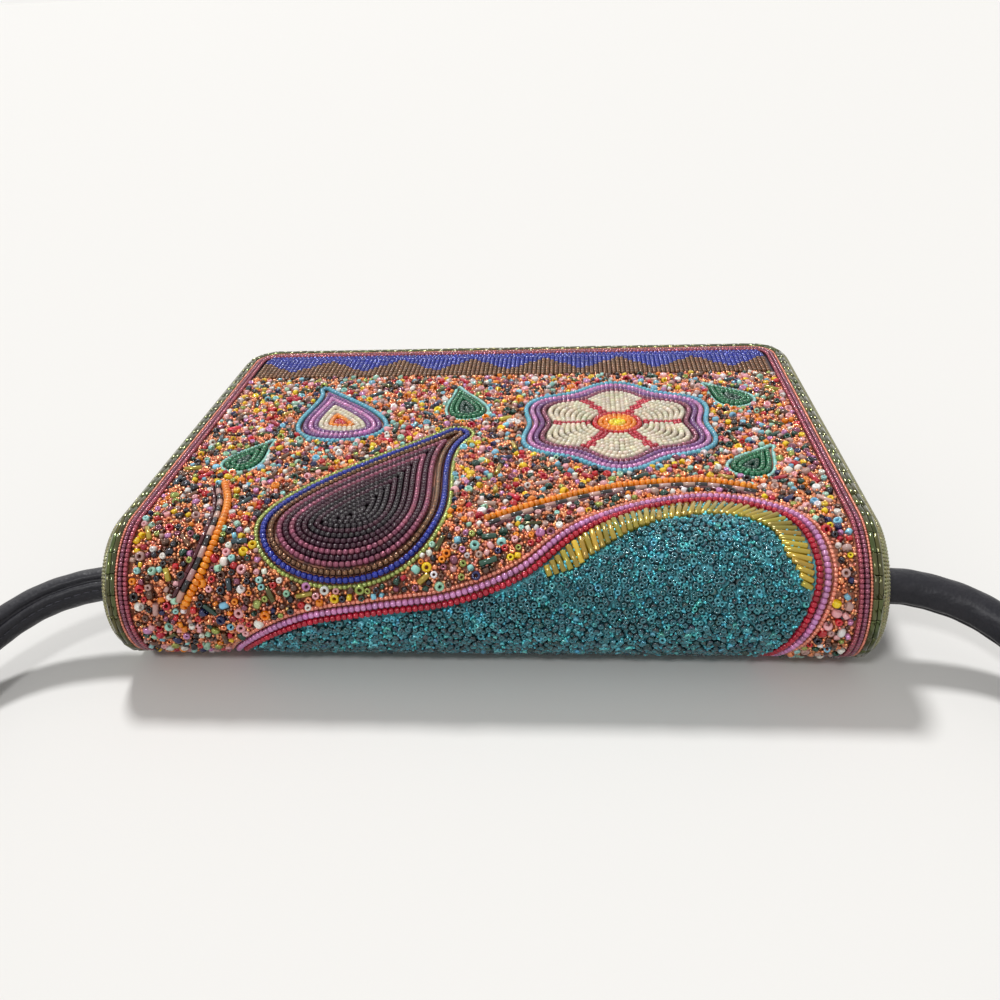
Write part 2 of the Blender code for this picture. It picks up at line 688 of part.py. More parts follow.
BRONZE_START = ZIGZAG_BASE - TOOTH_HEIGHT - BRONZE_MARGIN
ZIGZAG_TEETH = 7
GARLAND_BEAD = 2.2 * MM

# Bugles strewn among the mixed beads: even spreading by two irrational shares, each turned on from the last
GROUND_DROP = 0.35 * BEAD
STRAY_LENGTH = 5 * MM
STRAY_CLEAR = 0.5 * MM
STRAY_COUNT = 80
STRAY_TRIES = 900
STRAY_SPREAD = (0.7549, 0.5698)
STRAY_TURN = math.radians(137.5)


def make_wave(bag):
    """Teal field under the wave, with its crimson and lilac rows and a fringe of slanted bugles."""
    line = wave_path()
    fringe = [index for index, (u, s) in enumerate(line) if u > chart(12.8, 0)[0] and s > chart(0, 4.8)[1]]
    first, last = fringe[0], fringe[-1]
    field = []
    for index, (shallow, deep) in enumerate(zip(line, beside(line, -FRINGE_DEPTH))):
        share = min(1.0, max(0.0, min(index - first + 1, last + 1 - index) / 2))
        share = share * share * (3 - 2 * share)
        field.append(tuple(a + (b - a) * share for a, b in zip(shallow, deep)))
    split_at_crest(bag, "teal_field", surface_from([above_hem(field)], 0.0), -BEAD, "teal")
    row_over_crest(bag, "crimson_row", beside(line, SEAT + ROW), "crimson", sides=6)
    row_over_crest(bag, "lilac_row", beside(line, SEAT + ROW + ROW_PITCH), "lilac", sides=6)
    make_fringe(bag, line[first + 1:last])


def make_fringe(bag, line):
    """Band of bugles side by side, each a small roof in section."""
    count = round(path_length(line) / (1.3 * ROW_PITCH))
    edges = []
    for depth in (SEAT, FRINGE_DEPTH - 2 * SEAT):
        edge = beside(line, -depth)
        size = path_length(edge)
        edges.append(along_path(edge, [size * k / (2 * count) for k in range(2 * count + 1)]))
    top, low = edges
    flat = bmesh.new()
    upper, lower = [], []
    for index, (a, b) in enumerate(zip(top, low)):
        height = 0.0 if index % 2 else -BEAD * 0.5
        upper.append(flat.verts.new((*a, height)))
        lower.append(flat.verts.new((*b, height)))
    for index in range(len(upper) - 1):
        flat.faces.new((upper[index], lower[index], lower[index + 1], upper[index + 1]))
    piece_from_flat(bag, "olive_fringe", flat, -BEAD, "gold_olive")


def make_paisleys(bag):
    """Large paisley with ribbed rows and two outlines, and a small one the other way."""
    rings, heights = [], []
    for rib in range(5):
        shrink = -rib * 1.8 * ROW_PITCH
        rings.append(drop_loop(**PAISLEY, grow=shrink))
        heights.append(-BEAD * 0.45 if rib % 2 == 0 else 0.0)
    piece_from_flat(bag, "plum_paisley", surface_of_rings(rings, heights), -BEAD, "plum")
    for order, (name, finish) in enumerate((("bronze", "bronze"), ("cobalt", "cobalt"))):
        loop = around(drop_loop(**PAISLEY), 2 * SEAT + ROW + order * ROW_PITCH)
        bead_row(bag, "paisley_" + name + "_row", loop, finish, closed=True)
    rings = [drop_loop(**MAUVE_PAISLEY, grow=-rib * 1.2 * ROW_PITCH) for rib in range(4)]
    ribs = surface_of_rings(rings, [-BEAD * 0.45, 0.0, -BEAD * 0.45, 0.0])
    piece_from_flat(bag, "mauve_paisley", ribs, -BEAD, "purple")
    loop = around(drop_loop(**MAUVE_PAISLEY), 2 * SEAT + ROW)
    bead_row(bag, "mauve_paisley_row", loop, "sky", closed=True)


def make_blossom(bag):
    """Six-petalled blossom: raised heart, cream petals, purple band and a sky-blue outline."""
    heart = 8.5
    hub = [blossom_loop(BLOSSOM_CENTRE, heart - step, scallop=0.0, count=20) for step in (0, 2.2, 4.4)]
    piece_from_flat(bag, "blossom_heart", surface_of_rings(hub, [-0.5 * BEAD, 0.0, 0.0]), -BEAD, "orange")
    inner = blossom_loop(BLOSSOM_CENTRE, heart, grow=SEAT, scallop=0.0, count=20)
    outer = blossom_loop(BLOSSOM_CENTRE, BLOSSOM_RADIUS)
    piece_from_flat(bag, "blossom_petals", surface_from([outer, inner], 0.0), -BEAD, "cream")
    band = 2.6 * ROW_PITCH
    inner = blossom_loop(BLOSSOM_CENTRE, BLOSSOM_RADIUS, grow=SEAT)
    outer = blossom_loop(BLOSSOM_CENTRE, BLOSSOM_RADIUS, grow=band)
    piece_from_flat(bag, "blossom_band", surface_from([outer, inner], -0.1 * BEAD), -BEAD, "purple")
    loop = blossom_loop(BLOSSOM_CENTRE, BLOSSOM_RADIUS, grow=band + SEAT + ROW)
    bead_row(bag, "blossom_blue_row", loop, "sky", closed=True)
    return blossom_loop(BLOSSOM_CENTRE, BLOSSOM_RADIUS, grow=band + 2 * SEAT + 2 * ROW)


def make_leaves(bag):
    """Emerald leaves, each with a raised midrib."""
    names = ("leaf_middle", "leaf_left", "leaf_right_low", "leaf_right_high")
    for name, leaf in zip(names, LEAVES):
        rings = [drop_loop(**leaf, grow=-rib * 1.1 * ROW_PITCH) for rib in range(2)]
        piece_from_flat(bag, name, surface_of_rings(rings, [-0.4 * BEAD, 0.0]), -BEAD, "emerald")


def make_garlands(bag):
    """Orange beads in a row over a row of dark bugles."""
    for side, line in zip(("right", "left"), garland_paths()):
        bead_row(bag, "orange_garland_" + side, line, "orange", GARLAND_BEAD / 2, bead_length=GARLAND_BEAD)
        below = beside(line, -GARLAND_BEAD / 2 - SEAT - ROW)
        bead_row(bag, "jet_garland_" + side, below, "jet")


def lengthened(line, extra):
    """The line drawn on a little past both its ends."""
    ends = []
    for near, far in ((line[1], line[0]), (line[-2], line[-1])):
        size = math.dist(near, far)
        ends.append(tuple(b + (b - a) / size * extra for a, b in zip(near, far)))
    return [ends[0]] + line[1:-1] + [ends[1]]


def band_outline(line, left, right):
    """Closed outline round a line, so far to its left and right and clear of its ends."""
    line = lengthened(line, 1.5 * SEAT)
    return beside(line, left) + list(reversed(beside(line, -right)))


def zigzag(lift):
    """Toothed line across the pattern, moved so far towards the fold."""
    base = ZIGZAG_BASE - lift
    tip = ZIGZAG_BASE - TOOTH_HEIGHT - lift * 1.6
    tooth = 2 * FIELD_SIDE / ZIGZAG_TEETH
    line = [(-FIELD_SIDE, base)]
    for index in range(ZIGZAG_TEETH):
        middle = -FIELD_SIDE + (index + 0.5) * tooth
        line += [(middle, tip), (middle + tooth / 2, base)]
    return line


def make_border(bag):
    """Cobalt triangles at the free edge, with bronze beads between them."""
    teeth = box_outline(FIELD_SIDE, ZIGZAG_BASE, FIELD_END, FIELD_REACH) + zigzag(0.0)[-2:0:-1]
    piece_from_flat(bag, "cobalt_zigzag", surface_from([teeth], 0.0), -BEAD, "cobalt")
    between = [(-FIELD_SIDE, BRONZE_START)] + zigzag(SEAT * 1.5) + [(FIELD_SIDE, BRONZE_START)]
    piece_from_flat(bag, "bronze_border", surface_from([between], 0.0), -BEAD, "bronze")


def within(point, loop):
    """Whether a flat point is inside a closed outline: a ray to its right crosses it an odd number of times."""
    u, s = point
    crossed = False
    for (u0, s0), (u1, s1) in zip(loop, loop[1:] + loop[:1]):
        if (s0 > s) != (s1 > s) and u < u0 + (s - s0) * (u1 - u0) / (s1 - s0):
            crossed = not crossed
    return crossed


def bar(centre, heading, length, width):
    """Corners and middles of the sides of a rectangle on the flat pattern, clockwise round it."""
    along = (math.cos(heading) * length / 2, math.sin(heading) * length / 2)
    across = (-math.sin(heading) * width / 2, math.cos(heading) * width / 2)
    shares = ((-1, -1), (-1, 0), (-1, 1), (0, 1), (1, 1), (1, 0), (1, -1), (0, -1))
    return [tuple(c + i * a + j * b for c, a, b in zip(centre, along, across)) for i, j in shares]


def stray_bugles(outside, holes):
    """Centres and headings of bugles spread over the flat ground, clear of the motifs and of one another."""
    placed = []
    edges = [corner for loop in [outside] + holes for corner in loop]
    for index in range(1, STRAY_TRIES):
        turns = [index * share % 1.0 for share in STRAY_SPREAD]
        centre = ((2 * turns[0] - 1) * FIELD_SIDE, QUARTER + turns[1] * (BRONZE_START - QUARTER))
        heading = index * STRAY_TURN
        room = bar(centre, heading, STRAY_LENGTH + 2 * STRAY_CLEAR, BEAD + 2 * STRAY_CLEAR)
        lies_clear = all(within(point, outside) and point[1] > QUARTER + SEAT for point in room)
        lies_clear = lies_clear and not any(within(point, hole) for point in room for hole in holes)
        lies_clear = lies_clear and not any(within(corner, room) for corner in edges)
        if lies_clear and all(math.dist(centre, other) > STRAY_LENGTH + BEAD for other, _ in placed):
            placed.append((centre, heading))
    return placed[:STRAY_COUNT]


def raise_bugles(flat, bases, low, high):
    """Closes each four-cornered hole of the flat surface with a bugle's small roof."""
    for base in bases:
        corners = [flat.verts.new((u, s, low)) for u, s in base[::2]]
        ridge = [flat.verts.new((u, s, high)) for u, s in (base[1], base[5])]
        flat.faces.new((corners[0], corners[1], ridge[0]))
        flat.faces.new((corners[1], corners[2], ridge[1], ridge[0]))
        flat.faces.new((corners[2], corners[3], ridge[1]))
        flat.faces.new((corners[3], corners[0], ridge[0], ridge[1]))
    bmesh.ops.remove_doubles(flat, verts=flat.verts[:], dist=1e-7)
    bmesh.ops.recalc_face_normals(flat, faces=flat.faces[:])


def make_scatter(bag, blossom_edge):
    """Mixed beads that fill the ground round the motifs, with the larger bugles standing out of them."""
    half = FIELD_SIDE
    top = BRONZE_START - SEAT
    clear = 2 * SEAT + 2 * ROW + ROW_PITCH
    shore = above_hem(beside(wave_path(), clear))
    outside = [(-half, -WRAP), (-half, top), (half, top), (half, -WRAP)] + list(reversed(shore))
    holes = [
        around(drop_loop(**PAISLEY), 4 * SEAT + 2 * ROW + ROW_PITCH),
        around(drop_loop(**MAUVE_PAISLEY), 4 * SEAT + 2 * ROW),
        blossom_edge,
    ]
    holes += [around(drop_loop(**leaf), SEAT) for leaf in LEAVES]
    for line in garland_paths():
        holes.append(band_outline(line, GARLAND_BEAD / 2 + SEAT, GARLAND_BEAD / 2 + BEAD + 2 * SEAT))
    bases = [bar(centre, heading, STRAY_LENGTH, BEAD) for centre, heading in stray_bugles(outside, holes)]
    flat = surface_from([outside] + holes + [base[::2] for base in bases], -GROUND_DROP)
    raise_bugles(flat, bases, -GROUND_DROP, 0.0)
    split_at_crest(bag, "scatter", flat, -BEAD, "scatter", sides=("left", "right"))


def make_edging(bag):
    """Rows along the three free edges: plum beads inside, bugles on the edge, khaki beads outside."""
    start = -WRAP
    rows = (
        ("plum_row", "plum", FIELD_REACH + PLUM_OUT, 0.0),
        ("bugle_edging", "olive", CORNER_RADIUS + BUGLE_OUT, BUGLE),
        ("khaki_row", "khaki", CORNER_RADIUS + KHAKI_OUT, 0.0),
    )
    for name, finish, reach, bead_length in rows:
        row_over_crest(bag, name, margin_path(reach, start), finish, bead_length)


def make_beaded_cloth(bag):
    """Ground cloth of the beadwork, rolled round the free edges and down over the fold."""
    turns = [0.0, ROLL_ANGLE / 2, ROLL_ANGLE]
    rings = [margin_path(CORNER_RADIUS + EDGE_ROLL * turn, -WRAP) for turn in turns]
    flat = bmesh.new()
    lines = [[flat.verts.new((u, s, CLOTH_TOP)) for u, s in ring] for ring in rings]
    for inner, outer in zip(lines, lines[1:]):
        for index in range(len(inner) - 1):
            flat.faces.new((inner[index], inner[index + 1], outer[index + 1], outer[index]))
    flat.faces.new(lines[0])
    split_at_crest(bag, "cloth", flat, CLOTH_TOP - CLOTH, "cloth")


def make_flap_boards(bag):
    """Stiff board and cloth lining inside the flap."""
    start = HINGE_GAP / 2
    end = PATTERN_END - 1 * MM
    outline = box_outline(BODY_SIDE, start, end, PANEL_CORNER)
    flat = surface_from([outline], BOARD_TOP)
    piece_from_flat(bag, "flap_board", flat, BOARD_TOP - FLAP_BOARD, "black_cover")
    outline = box_outline(BODY_SIDE - 1 * MM, start, end - 1 * MM, PANEL_CORNER)
    flat = surface_from([outline], LINING_TOP)
    piece_from_flat(bag, "flap_lining", flat, LINING_TOP - FLAP_LINING, "lining")


def main():
    """Builds the whole bag."""
    clear_scene()
    group = make_collection("beaded_clutch")
    body = bpy.data.objects.new("body_frame", None)
    flap = bpy.data.objects.new("flap_hinge", None)
    flap.location = (0, Y_SHIFT - SEAT, FOLD_RADIUS)
    for empty in (body, flap):
        group.objects.link(empty)
    bag = {"group": group, "body": body, "flap": flap}
    make_back_panel(bag)
    make_front_panel(bag)
    make_gussets(bag)
    make_bottom_panel(bag)
    make_pouch_lining(bag)
    make_snap(bag)
    make_strap(bag)
    make_flap_boards(bag)
    make_beaded_cloth(bag)
    make_wave(bag)
    make_paisleys(bag)
    blossom_edge = make_blossom(bag)
    make_leaves(bag)
    make_garlands(bag)
    make_border(bag)
    make_scatter(bag, blossom_edge)
    make_edging(bag)


main()
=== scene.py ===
"""Looks of a beaded flap clutch on a rolled leather strap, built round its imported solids.

The beadwork is drawn as a flat pattern: u runs across the bag, s from the foremost line of the fold towards the
flap's free edge, and h is the height over the finished surface.  Every bead gets a place on that pattern and is
laid on the bag by one formula, round the fold and over the rolled edges.  All lengths are metres.
"""
import math

import bpy
import numpy as np
from mathutils import Matrix, Vector


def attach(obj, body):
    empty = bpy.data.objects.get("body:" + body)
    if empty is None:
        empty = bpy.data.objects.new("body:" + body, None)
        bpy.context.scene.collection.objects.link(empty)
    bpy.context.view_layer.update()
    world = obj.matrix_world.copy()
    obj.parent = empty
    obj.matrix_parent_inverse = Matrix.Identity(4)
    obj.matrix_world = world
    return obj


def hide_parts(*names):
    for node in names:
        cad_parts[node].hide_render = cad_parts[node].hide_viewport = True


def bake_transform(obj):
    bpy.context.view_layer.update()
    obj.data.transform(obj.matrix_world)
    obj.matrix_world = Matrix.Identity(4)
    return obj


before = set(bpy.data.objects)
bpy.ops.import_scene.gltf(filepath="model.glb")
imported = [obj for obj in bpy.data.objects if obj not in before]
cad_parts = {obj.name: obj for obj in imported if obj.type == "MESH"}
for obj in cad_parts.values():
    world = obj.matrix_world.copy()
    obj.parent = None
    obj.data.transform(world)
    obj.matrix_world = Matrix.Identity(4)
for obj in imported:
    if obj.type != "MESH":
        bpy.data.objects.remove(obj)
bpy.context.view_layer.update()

MM = 0.001

# Sizes of the bag, as in the solids
WIDTH = 218 * MM
LENGTH = 158 * MM
THICKNESS = 45 * MM
SEAT = 0.3 * MM
BEAD = 1.9 * MM
CLOTH = 0.6 * MM
FLAP_BOARD = 1.2 * MM
FLAP_LINING = 0.6 * MM
EDGE_ROLL = 5.4 * MM
CORNER_RADIUS = 9.5 * MM
ROLL_ANGLE = math.radians(74)
WRAP_ANGLE = math.radians(76)
FIELD_REACH = 5 * MM
BUGLE_OUT = 1.2 * MM
KHAKI_OUT = 4.4 * MM
BODY_SIDE = WIDTH / 2 - 7 * MM
STRAP_DIAMETER = 10.5 * MM
STRAP_EXIT = (20.5 * MM, 21.5 * MM)

# Sizes that follow from them
FOLD_RADIUS = THICKNESS / 2
QUARTER = FOLD_RADIUS * math.pi / 2
ROW = BEAD / 2
ROW_PITCH = BEAD + SEAT
EDGE_REACH = (EDGE_ROLL - ROW) * math.sin(KHAKI_OUT / EDGE_ROLL) + ROW
CORE_SIDE = WIDTH / 2 - EDGE_REACH - CORNER_RADIUS
PATTERN_END = LENGTH - FOLD_RADIUS + QUARTER - EDGE_REACH
CORE_END = PATTERN_END - CORNER_RADIUS
FIELD_SIDE = CORE_SIDE + FIELD_REACH
FIELD_END = CORE_END + FIELD_REACH
WRAP = FOLD_RADIUS * WRAP_ANGLE
CLOTH_TOP = -BEAD - SEAT
BOARD_TOP = CLOTH_TOP - CLOTH - SEAT
LINING_TOP = BOARD_TOP - FLAP_BOARD - SEAT
Y_SHIFT = -LENGTH / 2
BEDDING = CLOTH_TOP + 0.1 * MM
HEM = -WRAP + 0.6 * MM

# Motifs; their places are hundredths of the half width and of the pattern's length over or under the fold
WAVE = [(-67.9, -100), (-62.4, -47), (-47.7, -10), (-27.5, 0.9), (-7.3, 3), (11, 7.9), (25.7, 16.3),
        (42.2, 23), (60.6, 25.4), (76.1, 20.6), (81.7, 10.3), (78.9, 0.6), (73.4, -50), (69.7, -100)]
GARLANDS = {
    "right": [(0, 19.9), (12.8, 24.8), (29.4, 29.9), (44, 32.3), (58.7, 32.9), (72.5, 30.2)],
    "left": [(-76.1, 33.2), (-71.6, 26), (-69.7, 18.1), (-71.6, 10.3), (-77.1, 3)],
}
PAISLEY = {"centre": (-36.7, 31.4), "half_width": 21 * MM, "half_height": 36 * MM, "lean": 26 * MM}
MAUVE_PAISLEY = {"centre": (-49.5, 64.1), "half_width": 14 * MM, "half_height": 21 * MM, "lean": -14 * MM}
BLOSSOM_CENTRE = (36.7, 57.7)
BLOSSOM_RADIUS = 24 * MM
BLOSSOM_HEART = 8.5 * MM
BLOSSOM_BAND = 2.6 * ROW_PITCH
PETALS = 6
SCALLOP = 0.1
LEAVES = {
    "leaf_middle": {"centre": (-12.8, 68.9), "half_width": 6.5 * MM, "half_height": 14 * MM, "turn": 14},
    "leaf_left": {"centre": (-73.4, 44.7), "half_width": 5.5 * MM, "half_height": 11 * MM, "turn": -20},
    "leaf_right_low": {"centre": (75.2, 41.1), "half_width": 6 * MM, "half_height": 11 * MM, "turn": -32},
    "leaf_right_high": {"centre": (72.5, 71.9), "half_width": 6 * MM, "half_height": 11 * MM, "turn": 33},
}
FRINGE_START = (14, 5.6)
FRINGE_DEPTH = 7 * MM
ZIGZAG_BASE = FIELD_END - FIELD_REACH - 0.6 * MM
TOOTH_HEIGHT = 11.4 * MM
BRONZE_START = ZIGZAG_BASE - TOOTH_HEIGHT - 5 * MM
ZIGZAG_TEETH = 7
GARLAND_BEAD = 2.2 * MM
STRAY_LENGTH = 5 * MM
STRAY_CLEAR = 0.5 * MM
STRAY_COUNT = 80
STRAY_TRIES = 900
STRAY_SPREAD = (0.7549, 0.5698)
STRAY_TURN = math.radians(137.5)
GARLAND_ROOM = (1.3 * MM, -4.7 * MM)
LEAF_ROOM = 1.4 * MM

# Sizes of beads; radii that vary are in millimetres
SEED_PITCH = 1.7 * MM
SEED_RADIUS = 0.98 * MM
FILL_PITCH = 1.8 * MM
TOUCH = 0.94  # length of a threaded bead as a share of its pitch
WOBBLE = 0.05  # radians by which threaded beads tip
FRINGE_PITCH = 1.95 * MM
FRINGE_RADIUS = 0.92 * MM
FRINGE_SLANT = math.radians(66)
FRINGE_FULL = 0.98  # length of a whole bugle as a share of the fringe's depth
TEAL_PITCH = 2.02 * MM
TEAL_RADII = (0.84, 0.98, 1.16)
LARGE_RADII = (1.25, 1.5)
MIDDLE_RADII = (0.9, 1.18)
LARGE_COUNT = 620
THIN = 0.2 * MM  # how much nearer a row of smaller beads sits
EDGE_BUGLE = 6.3 * MM
EDGE_BUGLE_RADIUS = 0.82 * MM

# Throws on the mixed ground: tries, distance from its edges, room of a bead and the share of it kept clear
LARGE_THROW = (1500, 1.4 * MM, 1.4 * MM, 0.9)
MIDDLE_THROW = (26000, 1 * MM, 1.06 * MM, 0.86)
GRAIN_THROW = (90000, 0.4 * MM, 0.44 * MM, 0.76)

# Colours of glass, as red, green, blue and how metallic the bead looks
PLUM = (0.05, 0.011, 0.026, 0.1)
MAUVE = (0.27, 0.075, 0.125, 0.35)
PLUM_EDGE = (0.38, 0.075, 0.11, 0.4)
AUBERGINE = (0.016, 0.007, 0.013, 0)
CRIMSON = (0.47, 0.006, 0.03, 0.15)
LILAC = (0.6, 0.25, 0.5, 0.25)
SALMON = (0.78, 0.27, 0.18, 0.35)
BRONZE = (0.16, 0.075, 0.035, 0.7)
COBALT = (0.012, 0.026, 0.32, 0.15)
OLIVE = (0.07, 0.076, 0.018, 0.7)
KHAKI = (0.26, 0.25, 0.11, 0.6)
GOLD_OLIVE = (0.42, 0.31, 0.025, 0.3)
LIME = (0.34, 0.4, 0.09, 0.4)
CREAM = (0.74, 0.66, 0.5, 0)
ORANGE = (0.95, 0.27, 0.003, 0)
PURPLE = (0.21, 0.075, 0.25, 0)
SKY = (0.13, 0.46, 0.6, 0)
AQUA = (0.34, 0.7, 0.64, 0)
EMERALD = (0.01, 0.15, 0.06, 0.3)
JET = (0.018, 0.014, 0.016, 0)
BLUSH = (0.55, 0.34, 0.29, 0)
TEAL = (0.018, 0.058, 0.07, 0.25)
# Pale teal glass; the beads drawn in it also stand in as painted glints in the teal field
TEAL_PALE_GLINT = (0.12, 0.48, 0.54, 0.3)
TEAL_GREY = (0.035, 0.06, 0.07, 0.1)
COPPER = (0.86, 0.3, 0.13, 0.6)
TURQUOISE = (0.1, 0.58, 0.68, 0.3)
MAROON = (0.11, 0.016, 0.024, 0.1)
BROWN = (0.13, 0.058, 0.036, 0.3)
GUNMETAL = (0.035, 0.035, 0.045, 0.6)
WHITE = (0.92, 0.89, 0.83, 0)
YELLOW = (0.98, 0.64, 0.004, 0)
RED = (0.6, 0.016, 0.022, 0)
PINK = (0.9, 0.44, 0.46, 0)
LIGHT_BLUE = (0.22, 0.56, 0.74, 0)
MINT = (0.4, 0.7, 0.52, 0)
NAVY = (0.014, 0.018, 0.1, 0.1)
DARK_GREEN = (0.008, 0.06, 0.038, 0.1)

rng = np.random.default_rng(11)


# ---- the flat pattern and its place on the bag

def rays(angle):
    """Unit vectors on the flat pattern at the angles."""
    return np.stack((np.cos(angle), np.sin(angle)), axis=-1)


def left_of(runs):
    """Directions a quarter turn to the left."""
    return runs[..., ::-1] * (-1, 1)


def unit(vectors):
    """The vectors at length one."""
    return vectors / np.linalg.norm(vectors, axis=1, keepdims=True)


def overhang(u, s, side=CORE_SIDE, end=CORE_END):
    """How far flat points reach past both sides and past the far end."""
    return np.maximum(np.abs(u) - side, 0.0), np.maximum(s - end, 0.0)


def pulled(u, s, scale, side=CORE_SIDE, end=CORE_END):
    """Flat points with their overhang scaled."""
    over_u, over_s = overhang(u, s, side, end)
    return np.sign(u) * (np.minimum(np.abs(u), side) + over_u * scale), np.minimum(s, end) + over_s * scale


def lay_on_bag(points):
    """Places of flat points (u, s, h).  Past the corner radius the reach outside the core turns into an arc of
    radius EDGE_ROLL + h; then s runs as an arc of radius FOLD_RADIUS + h round the fold and on along the top."""
    u, s, h = points[..., 0], points[..., 1], points[..., 2]
    reach = np.hypot(*overhang(u, s))
    rolled = reach > CORNER_RADIUS
    angle = np.maximum(reach - CORNER_RADIUS, 0.0) / EDGE_ROLL
    new_reach = np.where(rolled, CORNER_RADIUS + (EDGE_ROLL + h) * np.sin(angle), reach)
    side, along = pulled(u, s, new_reach / np.maximum(reach, 1e-9))
    height = np.where(rolled, (EDGE_ROLL + h) * np.cos(angle) - EDGE_ROLL, h)
    turn = np.minimum(along, QUARTER) / FOLD_RADIUS
    radius = FOLD_RADIUS + height
    forward = Y_SHIFT + FOLD_RADIUS - radius * np.cos(turn) + np.maximum(along - QUARTER, 0.0)
    return np.stack((side, forward, FOLD_RADIUS + radius * np.sin(turn)), axis=-1)


def frames_at(places, heading):
    """Origin and axes (along, across, up, as columns) at flat places, from small steps on the laid surface."""
    step = 0.1 * MM
    origin = lay_on_bag(places)
    flat = np.zeros_like(places)
    flat[:, :2] = rays(heading) * step
    along = lay_on_bag(places + flat) - origin
    up = unit(lay_on_bag(places + np.array((0.0, 0.0, step))) - origin)
    across = unit(np.cross(up, along))
    return origin, np.stack((np.cross(across, up), across, up), axis=2)


def chart(points):
    """Flat points from hundredths of the half width and of the pattern's length over or under the fold."""
    u, s = np.array(points, float).reshape(-1, 2).T
    return np.stack((u / 100 * WIDTH / 2, s / 100 * np.where(s > 0, PATTERN_END, WRAP)), axis=1)


def smooth_path(points, steps):
    """Catmull-Rom curve: each span mixes its four nearest knots by cubic weights of t."""
    knots = np.array(points, float)
    padded = np.vstack((knots[:1], knots, knots[-1:]))
    t = np.linspace(0, 1, steps, endpoint=False)
    weights = np.stack((-t + 2 * t**2 - t**3, 2 - 5 * t**2 + 3 * t**3, t + 4 * t**2 - 3 * t**3, t**3 - t**2), 1)
    windows = np.stack([padded[k:len(knots) - 1 + k] for k in range(4)], axis=1)
    curve = np.einsum("tk,ska->sta", weights / 2, windows).reshape(-1, knots.shape[1])
    return np.vstack((curve, knots[-1:]))


def beside(path, distance):
    """The open path moved to its left by a distance, square to the line between its neighbours."""
    ahead = np.vstack((path[1:], path[-1:]))
    behind = np.vstack((path[:1], path[:-1]))
    return path + distance * left_of(unit(ahead - behind))


def drop_loop(centre, half_width, half_height, lean=0.0, turn=0.0, grow=0.0, count=120):
    """Drop: u = w sin t sin2(t/2), s = h cos t, with the tip leaning aside by a square law, then turned."""
    widest = math.sin(math.radians(120)) * math.sin(math.radians(60)) ** 2
    t = np.linspace(0, 2 * math.pi, count, endpoint=False)
    s = (half_height + grow) * np.cos(t)
    u = (half_width + grow) / widest * np.sin(t) * np.sin(t / 2) ** 2 + lean * ((s / half_height + 1) / 2) ** 2
    axes = rays(math.radians(turn) + np.array((0, math.pi / 2)))
    return chart([centre])[0] + np.stack((u, s), axis=1) @ axes


def blossom_loop(reach, scallop, grow=0.0, count=180):
    """Scalloped ring: the radius is reach (1 + scallop cos 6t), grown square to its flanks."""
    t = np.linspace(0, 2 * math.pi, count, endpoint=False)
    radius = reach * (1 + scallop * np.cos(PETALS * t)) + grow * math.hypot(1, PETALS * scallop)
    return chart([BLOSSOM_CENTRE])[0] + radius[:, None] * rays(t)[:, ::-1]


def blossom_edge(grow):
    """Line round the petals at a distance."""
    return blossom_loop(BLOSSOM_RADIUS, SCALLOP, grow)


def around(loop, distance):
    """The closed clockwise loop moved outwards; a sharp tip becomes an arc, cut into turns of 12 degrees."""
    to_here = loop - np.roll(loop, 1, axis=0)
    from_here = np.roll(loop, -1, axis=0) - loop
    heading = np.arctan2(to_here[:, 1], to_here[:, 0])
    turn = (np.arctan2(from_here[:, 1], from_here[:, 0]) - heading + math.pi) % (2 * math.pi) - math.pi
    steps = np.maximum(1, np.round(np.abs(turn) / math.radians(12))).astype(int)
    which = np.repeat(np.arange(len(loop)), steps)
    share = (np.arange(len(which)) - np.repeat(np.cumsum(steps) - steps, steps) + 0.5) / steps[which]
    normal = heading[which] + math.pi / 2 + turn[which] * share
    return loop[which] + distance * rays(normal)


def margin_path(reach, side=CORE_SIDE, end=CORE_END, start=-WRAP, steps=17):
    """Line round the three free edges of a rectangle, so far outside it, with round far corners."""
    left = (-side, end) + reach * rays(np.linspace(0, math.pi / 2, steps)) * (-1, 1)
    left = np.vstack(((-side - reach, start), left))
    return np.vstack((left, left[::-1] * (-1, 1)))


def inside(points, loop):
    """Even-odd rule: a point is inside where a ray to its right crosses the closed loop an odd number of times."""
    x, y = points[:, :1], points[:, 1:2]
    x0, y0 = loop.T
    x1, y1 = np.roll(loop, -1, axis=0).T
    rise = np.where(y1 == y0, 1.0, y1 - y0)
    crosses = ((y0 > y) != (y1 > y)) & (x < x0 + (y - y0) * (x1 - x0) / rise)
    return np.count_nonzero(crosses, axis=1) % 2 == 1


def reached_along(line):
    """Length of a line up to each of its points."""
    return np.concatenate(([0.0], np.cumsum(np.linalg.norm(np.diff(line, axis=0), axis=1))))


def held_at(values, reached, at):
    """Values kept at the points of a line, read at other lengths along it."""
    return np.stack([np.interp(at, reached, column) for column in values.T], axis=1)


def stations(path, pitch, closed=False):
    """Evenly spaced places on a path and the heading there, the pitch fitted to the path's length."""
    line = np.vstack((path, path[:1])) if closed else path
    reached = reached_along(line)
    count = max(2, round(reached[-1] / pitch))
    at = (np.arange(count) + 0.5) * reached[-1] / count
    span = np.clip(np.searchsorted(reached, at) - 1, 0, len(line) - 2)
    run = line[span + 1] - line[span]
    return held_at(line, reached, at), np.arctan2(run[:, 1], run[:, 0])


def below(line):
    """Closed region between a line and the hem of the beadwork."""
    return np.vstack((line, [(line[-1, 0], -WRAP - MM), (line[0, 0], -WRAP - MM)]))


def over_hem(places):
    """Which places lie on the beadwork's side of its hem under the fold."""
    return places[:, 1] > HEM


